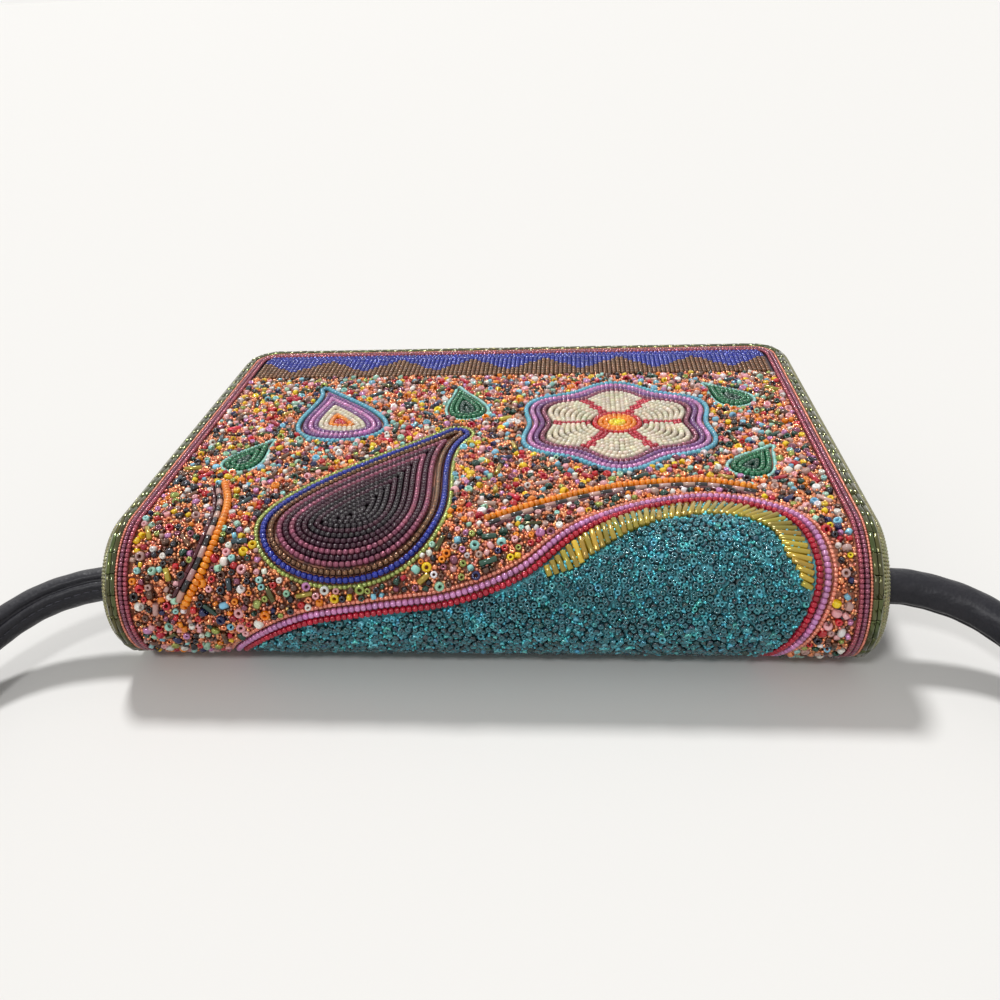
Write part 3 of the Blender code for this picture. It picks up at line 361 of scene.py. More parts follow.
def spread(pitch, jitter, region):
    """Flat places inside a closed region on a staggered grid, each moved by a random share of the pitch."""
    low, high = region.min(axis=0), region.max(axis=0)
    u = np.arange(low[0], high[0] + pitch, pitch)
    s = np.arange(low[1], high[1] + pitch, pitch * math.sqrt(3) / 2)
    grid = np.stack(np.meshgrid(u, s), axis=-1)
    grid[1::2, :, 0] += pitch / 2
    places = grid.reshape(-1, 2) + rng.uniform(-jitter, jitter, (grid.size // 2, 2)) * pitch
    return places[inside(places, region) & over_hem(places)]


def gap_to(places, loop):
    """Least distance of flat places from a closed loop's corners."""
    return np.sqrt(((places[:, None] - loop[None]) ** 2).sum(axis=2).min(axis=1))


# ---- beads

def turned_bead(profile, sides, ringed=False):
    """Bead turned about its hole: the point is (x, r cos a, r sin a) for each x, r of the profile.  A ringed
    profile closes through the hole; otherwise strips of quads fill the two ends."""
    x, r = np.array(profile, float).T
    a = 2 * math.pi * np.arange(sides) / sides
    points = np.stack(np.broadcast_arrays(x[:, None], r[:, None] * np.cos(a), r[:, None] * np.sin(a)), axis=-1)
    ring = np.arange(len(x) * sides).reshape(len(x), sides)
    low, high = (ring, np.roll(ring, -1, axis=0)) if ringed else (ring[:-1], ring[1:])
    quads = np.stack((low, np.roll(low, -1, axis=1), np.roll(high, -1, axis=1), high), axis=-1).reshape(-1, 4)
    if not ringed:
        k = np.arange(sides // 2 - 1)
        strip = np.stack((k, k + 1, sides - 2 - k, sides - 1 - k), axis=1)
        quads = np.vstack((quads, ring[0][strip[:, ::-1]], ring[-1][strip]))
    points = points.reshape(-1, 3)
    corner = points[quads]
    volume = np.einsum("ij,ij->", corner[:, 0], np.cross(corner[:, 1], corner[:, 2]))
    volume += np.einsum("ij,ij->", corner[:, 0], np.cross(corner[:, 2], corner[:, 3]))
    return points, quads if volume > 0 else quads[:, ::-1]


# Templates, about one unit long and one unit in radius
SEED = turned_bead([(-0.5, 0.62), (-0.3, 0.97), (0.3, 0.97), (0.5, 0.62)], 6)
TINY = turned_bead([(-0.5, 0.62), (0.0, 1.0), (0.5, 0.62)], 6)
GRAIN = turned_bead([(-0.45, 0.85), (0.45, 0.85)], 6)
BUGLE_TUBE = turned_bead([(-0.5, 0.8), (-0.47, 1.0), (0.47, 1.0), (0.5, 0.8)], 8)
HOLED = turned_bead([(-0.42, 0.42), (-0.36, 0.88), (0.36, 0.88), (0.42, 0.42)], 7, ringed=True)
ROUND = turned_bead([(-0.5, 0.5), (-0.36, 0.88), (-0.14, 1.0), (0.14, 1.0), (0.36, 0.88), (0.5, 0.5)], 9)
DONUT = turned_bead([(-0.28, 0.4), (-0.44, 0.7), (-0.2, 0.97), (0.2, 0.97), (0.44, 0.7), (0.28, 0.4)], 10,
                    ringed=True)
STRAP_STITCH = turned_bead([(-0.5, 0.3), (-0.4, 0.85), (0.0, 1.0), (0.4, 0.85), (0.5, 0.3)], 6)
LINING_STITCH = turned_bead([(-0.5, 0.4), (-0.38, 0.9), (0.0, 1.0), (0.38, 0.9), (0.5, 0.4)], 6)

# Kinds of threaded beads: template, pitch along the thread, radius and lift off the cloth
SEEDS = (SEED, SEED_PITCH, SEED_RADIUS, 0)
ROUNDS = (ROUND, SEED_PITCH, SEED_RADIUS, 0)
SALMON_SEEDS = (SEED, 1.35 * MM, 0.75 * MM, 0)
LIME_SEEDS = (SEED, 1.4 * MM, 0.8 * MM, 0)
LEAF_SEEDS = (SEED, 1.3 * MM, 0.7 * MM, 0)
GARLAND_ROUNDS = (ROUND, 1.75 * MM, 1.22 * MM, 0)
PLUM_SEEDS = (SEED, 1.4 * MM, 0.74 * MM, 0.5 * MM)
COPPER_SEEDS = (TINY, 0.95 * MM, 0.45 * MM, 0.9 * MM)
KHAKI_SEEDS = (TINY, 1.15 * MM, 0.62 * MM, 0.5 * MM)


def copied(quads, starts):
    """The quads once for each first point."""
    return (quads[None] + starts[:, None, None]).reshape(-1, 4)


class Beads:
    """Beads of one piece: their places on the flat pattern, and their points, quads and tints once laid."""

    def __init__(self):
        self.parts = []

    def add(self, template, places, heading, size, colour, tilt=None, wobble=None, fade=0.12, hole=None):
        """Lays a bead at each flat place.  size is length and radius; tilt holds turns about the across and
        along axes, or wobble is the spread of random ones; fade is how much tints vary from bead to bead, and a
        hole colour tints the innermost ring as a painted glint, light shining through the glass round the hole."""
        count = len(places)
        if not count:
            return self
        if wobble:
            tilt = rng.normal(0, wobble, (count, 2))
        length, radius = (np.broadcast_to(measure, (count,)) for measure in size)
        origin, axes = frames_at(places, heading)
        if tilt is not None:
            axes = axes @ turns(tilt)
        points, quads = template
        scaled = points[None] * np.stack((length, radius, radius), axis=1)[:, None]
        laid = origin[:, None] + np.einsum("nij,nmj->nmi", axes, scaled)
        tint = np.broadcast_to(np.array(colour, float), (count, 4)).copy()
        tint[:, :3] *= np.exp(rng.normal(0, fade, (count, 1)) + rng.normal(0, fade / 3, (count, 3)))
        tints = np.repeat(np.clip(tint, 0, 1)[:, None], len(points), axis=1)
        # Painted glint: the ring round the hole takes a lighter colour, for light shining through the glass.
        if hole is not None:
            inner = np.hypot(points[:, 1], points[:, 2]) < 0.5
            tints[:, inner, :3] = hole
        self.parts.append((places[:, 1], laid, quads, tints))
        return self

    def side(self, on_flap):
        """Points, quads and tints of the beads on one side of the fold's foremost line."""
        points, quads, tints, offset = [], [], [], 0
        for s, laid, faces, tint in self.parts:
            kept = (s > 0) == on_flap
            laid, tint = laid[kept], tint[kept]
            starts = offset + np.arange(len(laid)) * laid.shape[1]
            points.append(laid.reshape(-1, 3))
            tints.append(tint.reshape(-1, 4))
            quads.append(copied(faces, starts))
            offset += laid.shape[0] * laid.shape[1]
        return np.vstack(points), np.vstack(quads), np.vstack(tints)


def turns(tilt):
    """Matrices of a turn about the second axis, then about the first, from two columns of angles."""
    a, b = tilt.T
    zero, one = np.zeros_like(a), np.ones_like(a)
    pitch = np.array([[np.cos(a), zero, np.sin(a)], [zero, one, zero], [-np.sin(a), zero, np.cos(a)]])
    spin = np.array([[one, zero, zero], [zero, np.cos(b), -np.sin(b)], [zero, np.sin(b), np.cos(b)]])
    return pitch.transpose(2, 0, 1) @ spin.transpose(2, 0, 1)


def new_piece(name, points, faces, material):
    """A smooth mesh object at the origin from arrays of points and faces."""
    mesh = bpy.data.meshes.new(name)
    mesh.from_pydata(points, [], faces)
    mesh.polygons.foreach_set("use_smooth", np.ones(len(mesh.polygons), bool))
    mesh.materials.append(material)
    piece = bpy.data.objects.new(name, mesh)
    bpy.context.scene.collection.objects.link(piece)
    return piece


def tint_points(piece, tints):
    """Keeps a colour for each point of the piece."""
    held = piece.data.attributes.new("tint", "FLOAT_COLOR", "POINT")
    held.data.foreach_set("color", np.column_stack((tints[:, :3], np.ones(len(tints)))).ravel())


def sew(name, beads, material, nodes=()):
    """Makes the pieces of a bead group: what lies over the fold's foremost line rides on the flap, the rest on
    the bag, and each stands for its own of the nodes."""
    for body, prefix in (("flap", "flap_"), ("bag_body", "fold_")):
        on_flap = body == "flap"
        points, quads, tints = beads.side(on_flap)
        if not len(points):
            continue
        piece = new_piece(prefix + name, points, quads, material)
        tint_points(piece, tints)
        metal = piece.data.attributes.new("metal", "FLOAT", "POINT")
        metal.data.foreach_set("value", tints[:, 3].copy())
        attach(piece, body)
        stood_for = [node for node in nodes if node.startswith("fold_") != on_flap]
        if stood_for:
            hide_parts(*stood_for)


def edged(row):
    """Nodes of a row that runs on from the flap to both ends of the fold."""
    return "flap_" + row, "fold_" + row + "_left", "fold_" + row + "_right"


def at_height(places, radius, lift=0.0):
    """Flat places with beads of a radius bedded on the cloth."""
    height = np.broadcast_to(np.asarray(BEDDING + radius + lift, float), (len(places),))
    return np.column_stack((places, height))


def seed_row(beads, path, colour, kind=SEEDS, closed=False, keep=None):
    """Threads beads of a kind on a path, hole to hole."""
    template, pitch, radius, lift = kind
    places, heading = stations(path, pitch, closed)
    if keep is not None:
        chosen = keep(places)
        places, heading = places[chosen], heading[chosen]
    tints = colour(places) if callable(colour) else colour
    beads.add(template, at_height(places, radius, lift), heading, (pitch * TOUCH, radius), tints, wobble=WOBBLE)


def sew_rows(name, rows, material, slot, nodes=(), **kind):
    """A piece of rows, each a path and its colour."""
    beads = Beads()
    for path, colour in rows:
        seed_row(beads, path, colour, **kind)
    sew(name, beads, material, nodes)


def sew_bugles(name, path, pitch, radius, lift, colours, nodes=()):
    """A piece of bugles threaded end to end, in colours that take turns."""
    places, heading = stations(path, pitch)
    tints = np.array(colours)[np.arange(len(places)) % len(colours)]
    beads = Beads().add(BUGLE_TUBE, at_height(places, radius, lift), heading, (pitch - 0.1 * MM, radius), tints)
    sew(name, beads, GLOSSY, nodes)


# ---- materials

class Nodes:
    """A node tree, built up output by output."""

    def __init__(self, tree):
        self.tree = tree

    def fill(self, node, inputs):
        """Links the inputs that are sockets and sets the others; a name may have underscores for blanks."""
        for name, value in inputs.items():
            socket = node.inputs[name.replace("_", " ") if isinstance(name, str) else name]
            if isinstance(value, bpy.types.NodeSocket):
                self.tree.links.new(value, socket)
            else:
                socket.default_value = value

    def add(self, kind, output, inputs=None, **settings):
        """An output of a new node with these inputs and settings."""
        node = self.tree.nodes.new("ShaderNode" + kind)
        for name, value in settings.items():
            setattr(node, name, value)
        self.fill(node, inputs or {})
        return node.outputs[output]

    def larger(self, first, second):
        """The larger of two values."""
        return self.add("Math", "Value", {0: first, 1: second}, operation="MAXIMUM")

    def ramp(self, value, low, high):
        """Value scaled to run from low to high."""
        return self.add("MapRange", "Result", {"Value": value, "To Min": low, "To Max": high})


class Maker(Nodes):
    """Builds one material; coordinates are Object coordinates in metres."""

    def __init__(self, name):
        self.material = bpy.data.materials.new(name)
        self.material.use_nodes = True
        super().__init__(self.material.node_tree)
        self.place = self.add("TexCoord", "Object")

    def held(self, name, output):
        """Values kept on the piece's points."""
        return self.add("Attribute", output, attribute_name=name)

    def noise(self, scale, detail=3.0, stretch=None):
        """Noise value, with its pattern stretched along an axis if asked."""
        place = self.place
        if stretch:
            place = self.add("Mapping", "Vector", {"Vector": place, "Scale": stretch})
        return self.add("TexNoise", "Fac", {"Vector": place, "Scale": scale, "Detail": detail})

    def weave(self, threads_per_mm, axes="XY"):
        """Height of a plain weave: two crossing sets of ridges, the larger one on top."""
        inputs = {"Vector": self.place, "Scale": threads_per_mm / MM / 20 * math.pi, "Distortion": 0.6,
                  "Detail": 1.0, "Detail Scale": 2.0}
        return self.larger(*(self.add("TexWave", "Fac", inputs, bands_direction=axis) for axis in axes))

    def mix(self, value, first, second, blend="MIX"):
        """Colour mixed by a value."""
        first, second = (item if isinstance(item, bpy.types.NodeSocket) else (*item, 1.0)
                         for item in (first, second))
        return self.add("Mix", 2, {0: value, 6: first, 7: second}, data_type="RGBA", blend_type=blend)

    def finish(self, bumps=(), **inputs):
        """Fills the shader, with bumps as pairs of a height and its depth in metres, one on another."""
        for height, depth in bumps:
            under = {"Normal": inputs["Normal"]} if "Normal" in inputs else {}
            inputs["Normal"] = self.add("Bump", "Normal", {"Height": height, "Distance": depth, **under})
        self.fill(self.tree.nodes["Principled BSDF"], inputs)
        return self.material


def glass_beads(name, low, high, coat, shine=0.5):
    """Glass that takes each bead's own tint, cloudy from place to place, with a polished skin."""
    maker = Maker(name)
    shade = maker.mix(maker.ramp(maker.noise(700, 2.0), 0.0, 0.6), (1.08, 1.08, 1.08), (0.6, 0.58, 0.6))
    return maker.finish([(maker.noise(1100, 2.0), 0.03 * MM)],
                        Base_Color=maker.mix(1.0, maker.held("tint", "Color"), shade, "MULTIPLY"),
                        Metallic=maker.held("metal", "Fac"), Specular_IOR_Level=shine,
                        Roughness=maker.ramp(maker.noise(1500, 2.0), low, high),
                        Coat_Weight=coat, Coat_Roughness=0.04)


def woven_cloth(name, dark, light, threads_per_mm, roughness, sheen, axes="XY"):
    """Plain weave with painted shade in its darker valleys, with slubs and a little sheen."""
    maker = Maker(name)
    weave, slub = maker.weave(threads_per_mm, axes), maker.noise(180, 4.0)
    # Painted shade: the weave's valleys take the dark colour.
    return maker.finish([(weave, 0.08 * MM), (slub, 0.05 * MM)],
                        Base_Color=maker.mix(slub, maker.mix(weave, dark, light), light),
                        Roughness=maker.ramp(slub, roughness - 0.08, roughness + 0.08),
                        Sheen_Weight=sheen, Sheen_Roughness=0.5, Specular_IOR_Level=0.3)


def dyed_cloth(name):
    """Ground cloth in the colour of the beads sewn on it, held as tints, with painted shade darkening the weave's
    valleys.
    """
    maker = Maker(name)
    weave = maker.weave(2.2)
    # Painted shade: the weave's valleys are drawn at 0.45 of the tint.
    shade = maker.mix(weave, (0.45, 0.45, 0.45), (1, 1, 1))
    return maker.finish([(weave, 0.08 * MM)],
                        Base_Color=maker.mix(1.0, maker.held("tint", "Color"), shade, "MULTIPLY"),
                        Roughness=maker.ramp(maker.noise(180, 4.0), 0.45, 0.65),
                        Sheen_Weight=0.25, Sheen_Roughness=0.5)


def leather(name, dark, light, roughness, grain):
    """Smooth leather: fine pebbled grain, pores and rubbed lighter places."""
    maker = Maker(name)
    cells = maker.add("TexVoronoi", "Distance", {"Vector": maker.place, "Scale": grain}, feature="F1")
    wrinkles = maker.noise(260, 5.0)
    worn = maker.add("Math", "Value", {0: maker.noise(45, 3.0), 1: wrinkles}, operation="MULTIPLY")
    return maker.finish([(cells, 0.1 * MM), (wrinkles, 0.12 * MM)],
                        Base_Color=maker.mix(maker.ramp(worn, 0.0, 1.6), dark, light),
                        Roughness=maker.ramp(wrinkles, roughness - 0.1, roughness + 0.12),
                        Coat_Weight=0.08, Coat_Roughness=0.35, Specular_IOR_Level=0.3)


def plated_metal(name):
    """Plated steel, finely brushed, with faint handling marks."""
    maker = Maker(name)
    lines = maker.noise(900, 2.0, (1.0, 14.0, 1.0))
    return maker.finish([(lines, 0.01 * MM)], Metallic=1.0, Roughness=maker.ramp(lines, 0.2, 0.38),
                        Base_Color=maker.mix(maker.noise(120, 3.0), (0.64, 0.6, 0.5), (0.5, 0.47, 0.4)))


def thread(name, colour):
    """Twisted thread."""
    maker = Maker(name)
    ply = maker.noise(2600, 1.0, (1.0, 3.0, 1.0))
    return maker.finish([(ply, 0.05 * MM)], Base_Color=maker.mix(ply, colour, tuple(c * 2.2 for c in colour)),
                        Roughness=0.55, Sheen_Weight=0.2)


GLOSSY = glass_beads("glossy_glass", 0.06, 0.15, 0.35, 0.42)
DARK = glass_beads("dark_glass", 0.05, 0.12, 0.15, 0.3)
SATIN = glass_beads("satin_glass", 0.16, 0.34, 0.2)
LINED = glass_beads("silver_lined_glass", 0.08, 0.22, 0.5)
GROUND = dyed_cloth("ground_cloth")
LYING_COVER, SIDE_COVER, END_COVER = [
    woven_cloth(name + "_black_cover", (0.003, 0.003, 0.004), (0.022, 0.02, 0.026), 1.1, 0.65, 0.12, axes)
    for name, axes in (("lying", "XY"), ("side", "YZ"), ("end", "XZ"))]
LINING = woven_cloth("lining_satin", (0.016, 0.007, 0.013), (0.07, 0.034, 0.056), 1.6, 0.45, 0.15)
LEATHER = leather("strap_leather", (0.003, 0.004, 0.009), (0.024, 0.022, 0.028), 0.44, 900)
METAL = plated_metal("plated_steel")
THREAD = thread("strap_thread", (0.02, 0.02, 0.03))
LINING_THREAD = thread("lining_thread", (0.11, 0.055, 0.09))


# ---- bead groups

def sew_wave(line):
    """Rows along the wave: crimson, lilac and salmon."""
    for order, (name, colour) in enumerate((("crimson", CRIMSON), ("lilac", LILAC))):
        row = beside(line, SEAT + ROW + order * ROW_PITCH)
        sew_rows(name + "_beads", [(row, colour)], GLOSSY, name, edged(name + "_row"), kind=ROUNDS, keep=over_hem)
    outer = beside(line, SEAT + ROW + 2 * ROW_PITCH - THIN)
    sew_rows("salmon_beads", [(outer, SALMON)], GLOSSY, "lilac", kind=SALMON_SEEDS, keep=over_hem)


def sew_fringe(line):
    """Slanted bugles under the top of the wave, shorter at both ends; gives points along them, so that the field
    can keep clear."""
    start = chart([FRINGE_START])[0]
    line = line[np.all(line > start, axis=1)]
    places, heading = stations(beside(line, -FRINGE_DEPTH / 2), FRINGE_PITCH)
    count = len(places)
    slant = heading + (FRINGE_SLANT + rng.normal(0, 0.04, count))
    from_end = np.minimum(np.arange(count), np.arange(count)[::-1])
    length = FRINGE_DEPTH * np.clip(0.45 + from_end * 0.13, 0, FRINGE_FULL)
    inwards = 0.45 * (FRINGE_DEPTH * FRINGE_FULL - length)
    places = places + left_of(rays(heading)) * inwards[:, None]
    beads = Beads().add(BUGLE_TUBE, at_height(places, FRINGE_RADIUS, 0.05 * MM), slant, (length, FRINGE_RADIUS),
                        GOLD_OLIVE, wobble=0.05, fade=0.2)
    sew("olive_fringe_bugles", beads, LINED, ["olive_fringe"])
    reach = rays(slant) * length[:, None]
    return np.vstack([places + reach * share for share in np.linspace(-0.5, 0.5, 7)])


def any_way(count):
    """Random headings."""
    return rng.uniform(0, 2 * math.pi, count)


def tipped(base, spread_angle, count):
    """Random turns of beads about their across and along axes, the first round a base angle."""
    return np.column_stack((base + rng.normal(0, spread_angle, count), rng.normal(0, 0.3, count)))


def sew_grains(name, places, bed, lifts, size, colour, fade, material):
    """Tiny beads tipped every way; their bed, lifts off it and size are in millimetres."""
    count = len(places)
    height = at_height(places, bed * MM, rng.uniform(*lifts, count) * MM)
    heading = any_way(count)
    tints = colour(count) if callable(colour) else colour
    beads = Beads().add(GRAIN, height, heading, np.array(size) * MM, tints, wobble=0.6, fade=fade)
    sew(name, beads, material)


def sew_teal_field(line, fringe):
    """Teal beads on a loose grid below the wave, clear of the fringe, with turquoise grains between them."""
    region = below(beside(line, -0.5 * MM))
    places = spread(TEAL_PITCH, 0.27, region)
    places = places[gap_to(places, fringe) > 1.2 * MM]
    count = len(places)
    radius = rng.choice(TEAL_RADII, count, p=(0.25, 0.45, 0.3)) * MM
    # A share of the teal beads is pale turquoise, partly as painted glints.
    shade = rng.choice(3, count, p=(0.56, 0.26, 0.18))
    tilt = tipped(math.pi / 2, 0.32, count)
    # The hole colour is a painted glint: light turquoise where light would shine through the glass.
    beads = Beads().add(HOLED, at_height(places, 0.8 * MM, rng.uniform(0, 0.45 * MM, count)), any_way(count),
                        (1.6 * radius, radius), np.array((TEAL, TEAL_GREY, TEAL_PALE_GLINT))[shade], tilt=tilt,
                        fade=0.3, hole=(0.05, 0.26, 0.31))
    sew("teal_beads", beads, GLOSSY, ["flap_teal_field", "fold_teal_field"])
    crowd = {}
    for size in TEAL_RADII:
        throw(places[radius == size * MM], size * MM, crowd, 0.0)
    thrown = rng.uniform(region.min(axis=0), region.max(axis=0), (16000, 2))
    thrown = thrown[inside(thrown, region) & over_hem(thrown)]
    thrown = throw(thrown[gap_to(thrown, fringe) > 0.7 * MM], 0.36 * MM, crowd, 0.74)
    sew_grains("turquoise_grains", thrown, 0.45, (0.3, 0.85), (0.95, 0.46), TURQUOISE, 0.2, GLOSSY)


def fill_drop(outline, colours, name, material, nodes):
    """Rows inside a drop, each at its distance from the outline; beads that come nearer to the far side of the
    outline than to their own are left out, and the last colour is kept for the rows in the middle."""
    loop = drop_loop(**outline, count=360)
    beads = Beads()
    for order, distance in enumerate(np.arange(ROW, outline["half_width"], FILL_PITCH)):
        seed_row(beads, around(loop, -distance), colours[min(order, len(colours) - 1)], closed=True,
                 keep=lambda places: inside(places, loop) & (gap_to(places, loop) > distance - 0.12 * MM))
    sew(name, beads, material, nodes)


def drop_ring(drop, distance):
    """Line round a drop at a distance."""
    return around(drop_loop(**drop), distance)


def sew_paisleys():
    """Plum paisley with its outlines, and the mauve one."""
    fill_drop(PAISLEY, [MAUVE, PLUM, MAUVE, PLUM, PLUM, AUBERGINE, PLUM, AUBERGINE], "plum_paisley_beads", DARK,
              ["plum_paisley"])
    nearest = 2 * SEAT + ROW
    for order, (name, colour) in enumerate((("bronze", BRONZE), ("cobalt", COBALT))):
        row = drop_ring(PAISLEY, nearest + order * ROW_PITCH)
        sew_rows("paisley_%s_beads" % name, [(row, colour)], GLOSSY, name, ["paisley_%s_row" % name], closed=True)
    row = drop_ring(PAISLEY, nearest + 2 * ROW_PITCH - THIN)
    sew_rows("paisley_lime_beads", [(row, LIME)], LINED, "khaki", kind=LIME_SEEDS, closed=True)
    fill_drop(MAUVE_PAISLEY, [PURPLE, LILAC, PURPLE, CREAM, CREAM, ORANGE, RED], "mauve_paisley_beads", GLOSSY,
              ["mauve_paisley"])
    sew_rows("mauve_paisley_outline", [(drop_ring(MAUVE_PAISLEY, nearest), SKY)], GLOSSY, "sky",
             ["mauve_paisley_row"], closed=True)


def petal_tint(places):
    """Cream beads, with the lines between petals in crimson."""
    middle = chart([BLOSSOM_CENTRE])[0]
    angle = np.arctan2(places[:, 0] - middle[0], places[:, 1] - middle[1])
    seam = np.cos(PETALS * angle) < -0.86
    return np.where(seam[:, None], CRIMSON, CREAM)


def sew_blossom():
    """Heart, petals, band and outline of the blossom, all in rings."""
    beads = Beads()
    for order, colour in enumerate((RED, ORANGE, ORANGE, YELLOW)):
        seed_row(beads, blossom_loop(BLOSSOM_HEART - ROW - order * FILL_PITCH, 0.0), colour, closed=True)
    beads.add(DONUT, at_height(chart([BLOSSOM_CENTRE]), 1.1 * MM), np.zeros(1), (1.9 * MM, 1.2 * MM), YELLOW,
              tilt=np.array([[math.pi / 2, 0.0]]))
    sew("blossom_heart_beads", beads, GLOSSY, ["blossom_heart"])
    inner, outer = BLOSSOM_HEART + SEAT + ROW, BLOSSOM_RADIUS - ROW
    shares = np.linspace(0, 1, round((outer - inner) / FILL_PITCH) + 1)
    rings = [(blossom_loop(inner + (outer - inner) * share, SCALLOP * share), petal_tint) for share in shares]
    sew_rows("blossom_petal_beads", rings, SATIN, "cream", ["blossom_petals"], closed=True)
    rings = [(blossom_edge(SEAT + ROW + order * ROW_PITCH * 0.85), colour)
             for order, colour in enumerate((MAUVE, PURPLE, LILAC))]
    sew_rows("blossom_band_beads", rings, GLOSSY, "purple", ["blossom_band"], closed=True)
    sew_rows("blossom_outline_beads", [(blossom_edge(BLOSSOM_BAND + SEAT + ROW), SKY)], GLOSSY, "sky",
             ["blossom_blue_row"], closed=True)


def sew_leaves():
    """Emerald leaves with a pale outline."""
    for name, leaf in LEAVES.items():
        fill_drop(leaf, [EMERALD, EMERALD, DARK_GREEN], name + "_beads", GLOSSY, [name])
        ring = drop_ring(leaf, SEAT + 0.7 * MM)
        sew_rows(name + "_outline", [(ring, AQUA)], SATIN, "sky", kind=LEAF_SEEDS, closed=True)


def sew_garlands():
    """Orange beads over bugles in black and blush, with thin maroon bugles below them."""
    for side, knots in GARLANDS.items():
        line = smooth_path(chart(knots), 12)
        sew_rows("orange_garland_%s_beads" % side, [(line, ORANGE)], SATIN, "orange", ["orange_garland_" + side],
                 kind=GARLAND_ROUNDS)
        reach = -GARLAND_BEAD / 2 - SEAT - ROW
        sew_bugles("jet_garland_%s_bugles" % side, beside(line, reach), 3.6 * MM, ROW, 0.0, (JET, BLUSH),
                   ["jet_garland_" + side])
        sew_bugles("maroon_garland_%s_bugles" % side, beside(line, reach - ROW - 0.7 * MM), 4.4 * MM, 0.66 * MM,
                   0.3 * MM, (MAROON,))


def tooth_line(u):
    """Height s of the toothed line at u: a triangle wave between the teeth's base and their tips."""
    phase = (u + FIELD_SIDE) / (2 * FIELD_SIDE / ZIGZAG_TEETH) % 1.0
    return ZIGZAG_BASE - TOOTH_HEIGHT * (1 - np.abs(2 * phase - 1))


def sew_border():
    """Straight rows at the free edge, cobalt beyond the toothed line and bronze before it."""
    cobalt, bronze = Beads(), Beads()
    for s in np.arange(BRONZE_START + ROW, FIELD_END - ROW * 0.5, FILL_PITCH):
        half = FIELD_SIDE - ROW - max(0.0, s - CORE_END) * 0.35
        line = np.array([(-half, s), (half, s)])
        seed_row(cobalt, line, COBALT, keep=lambda p: p[:, 1] > tooth_line(p[:, 0]))
        seed_row(bronze, line, BRONZE, keep=lambda p: p[:, 1] <= tooth_line(p[:, 0]))
    sew("cobalt_border_beads", cobalt, GLOSSY, ["cobalt_zigzag"])
    sew("bronze_border_beads", bronze, SATIN, ["bronze_border"])


# ---- the mixed ground

# Colours and how often each is picked
MIX = (
    (COPPER, 12), (BROWN, 12), (GUNMETAL, 8), (WHITE, 11), (YELLOW, 10), (ORANGE, 5), (RED, 5), (PINK, 10),
    (MAUVE, 6), (AQUA, 5), (LIGHT_BLUE, 5), (LIME, 4), (MINT, 4), (NAVY, 3), (DARK_GREEN, 6), (BLUSH, 7),
    (JET, 5), (LILAC, 4), (CRIMSON, 3),
)
GRAINS = ((COPPER, 60), (SALMON, 22), (BROWN, 9), (GUNMETAL, 3), (BRONZE, 6))
STICKS = ((OLIVE, 4), (GOLD_OLIVE, 4), (CRIMSON, 4), (TEAL, 3), (DARK_GREEN, 3), (BRONZE, 5), (NAVY, 1),
          (BLUSH, 2))


def picked(palette, count):
    """Random tints from a palette with weights."""
    tints = np.array([colour for colour, weight in palette])
    weights = np.array([weight for colour, weight in palette], float)
    return tints[rng.choice(len(tints), count, p=weights / weights.sum())]


def throw(places, radius, crowd, closeness, cell=2.4 * MM):
    """Keeps the places, taken in turn, that lie clear of what is already in the crowd: a bead counts as its
    radius times the closeness, and the crowd is kept in square cells."""
    kept = []
    for index, (u, s) in enumerate(places):
        column, line = int(u // cell), int(s // cell)
        near = [c for i in (-1, 0, 1) for j in (-1, 0, 1) for c in crowd.get((column + i, line + j), ())]
        if all((u - a) ** 2 + (s - b) ** 2 > (closeness * (radius + r)) ** 2 for a, b, r in near):
            crowd.setdefault((column, line), []).append((u, s, radius))
            kept.append(index)
    return places[kept]


def bar(centre, heading, length, width):
    """Corners and middles of the sides of a rectangle on the flat pattern."""
    along = rays(heading) * length / 2
    across = left_of(rays(heading)) * width / 2
    shares = ((-1, -1), (-1, 0), (-1, 1), (0, 1), (1, 1), (1, 0), (1, -1), (0, -1))
    return np.array([centre + i * along + j * across for i, j in shares])


def stray_bugles(holes):
    """Centres and headings of the strewn bugles: even spreading by two irrational shares over the flat ground,
    and random ones on the fold, all clear of the motifs and of one another."""
    loop_points = np.vstack(holes)
    placed = []
    for index in range(1, STRAY_TRIES):
        on_fold = len(placed) >= STRAY_COUNT
        turns = np.array(STRAY_SPREAD) * index % 1.0
        low, high = (-WRAP, QUARTER) if on_fold else (QUARTER, BRONZE_START)
        centre = np.array(((2 * turns[0] - 1) * FIELD_SIDE, low + turns[1] * (high - low)))
        heading = index * STRAY_TURN
        room = bar(centre, heading, STRAY_LENGTH + 2 * STRAY_CLEAR, BEAD + 2 * STRAY_CLEAR)
        clear = np.all(np.abs(room[:, 0]) < FIELD_SIDE) and np.all((room[:, 1] > low) & (room[:, 1] < high))
        clear = clear and not any(inside(room, hole).any() for hole in holes)
        clear = clear and not inside(loop_points, room).any()
        clear = clear and not (on_fold and np.ptp(np.sign(room[:, 1])) > 0)
        if clear and all(math.dist(centre, other) > STRAY_LENGTH + BEAD for other, _ in placed):
            placed.append((centre, heading))
    return np.array([centre for centre, _ in placed]), np.array([heading for _, heading in placed])


def motif_holes(line):
    """Closed regions that the mixed ground leaves to the motifs."""
    two_rows = 4 * SEAT + 2 * ROW + ROW_PITCH
    holes = [below(beside(line, two_rows + 1.0 * MM)), drop_ring(PAISLEY, two_rows + 1.3 * MM),
             drop_ring(MAUVE_PAISLEY, 3 * SEAT + 2 * ROW), blossom_edge(BLOSSOM_BAND + 2 * SEAT + 2 * ROW)]
    holes += [drop_ring(leaf, SEAT + LEAF_ROOM) for leaf in LEAVES.values()]
    for knots in GARLANDS.values():
        over, under = (beside(smooth_path(chart(knots), 6), room) for room in GARLAND_ROOM)
        holes.append(np.vstack((over, under[::-1])))
    return holes


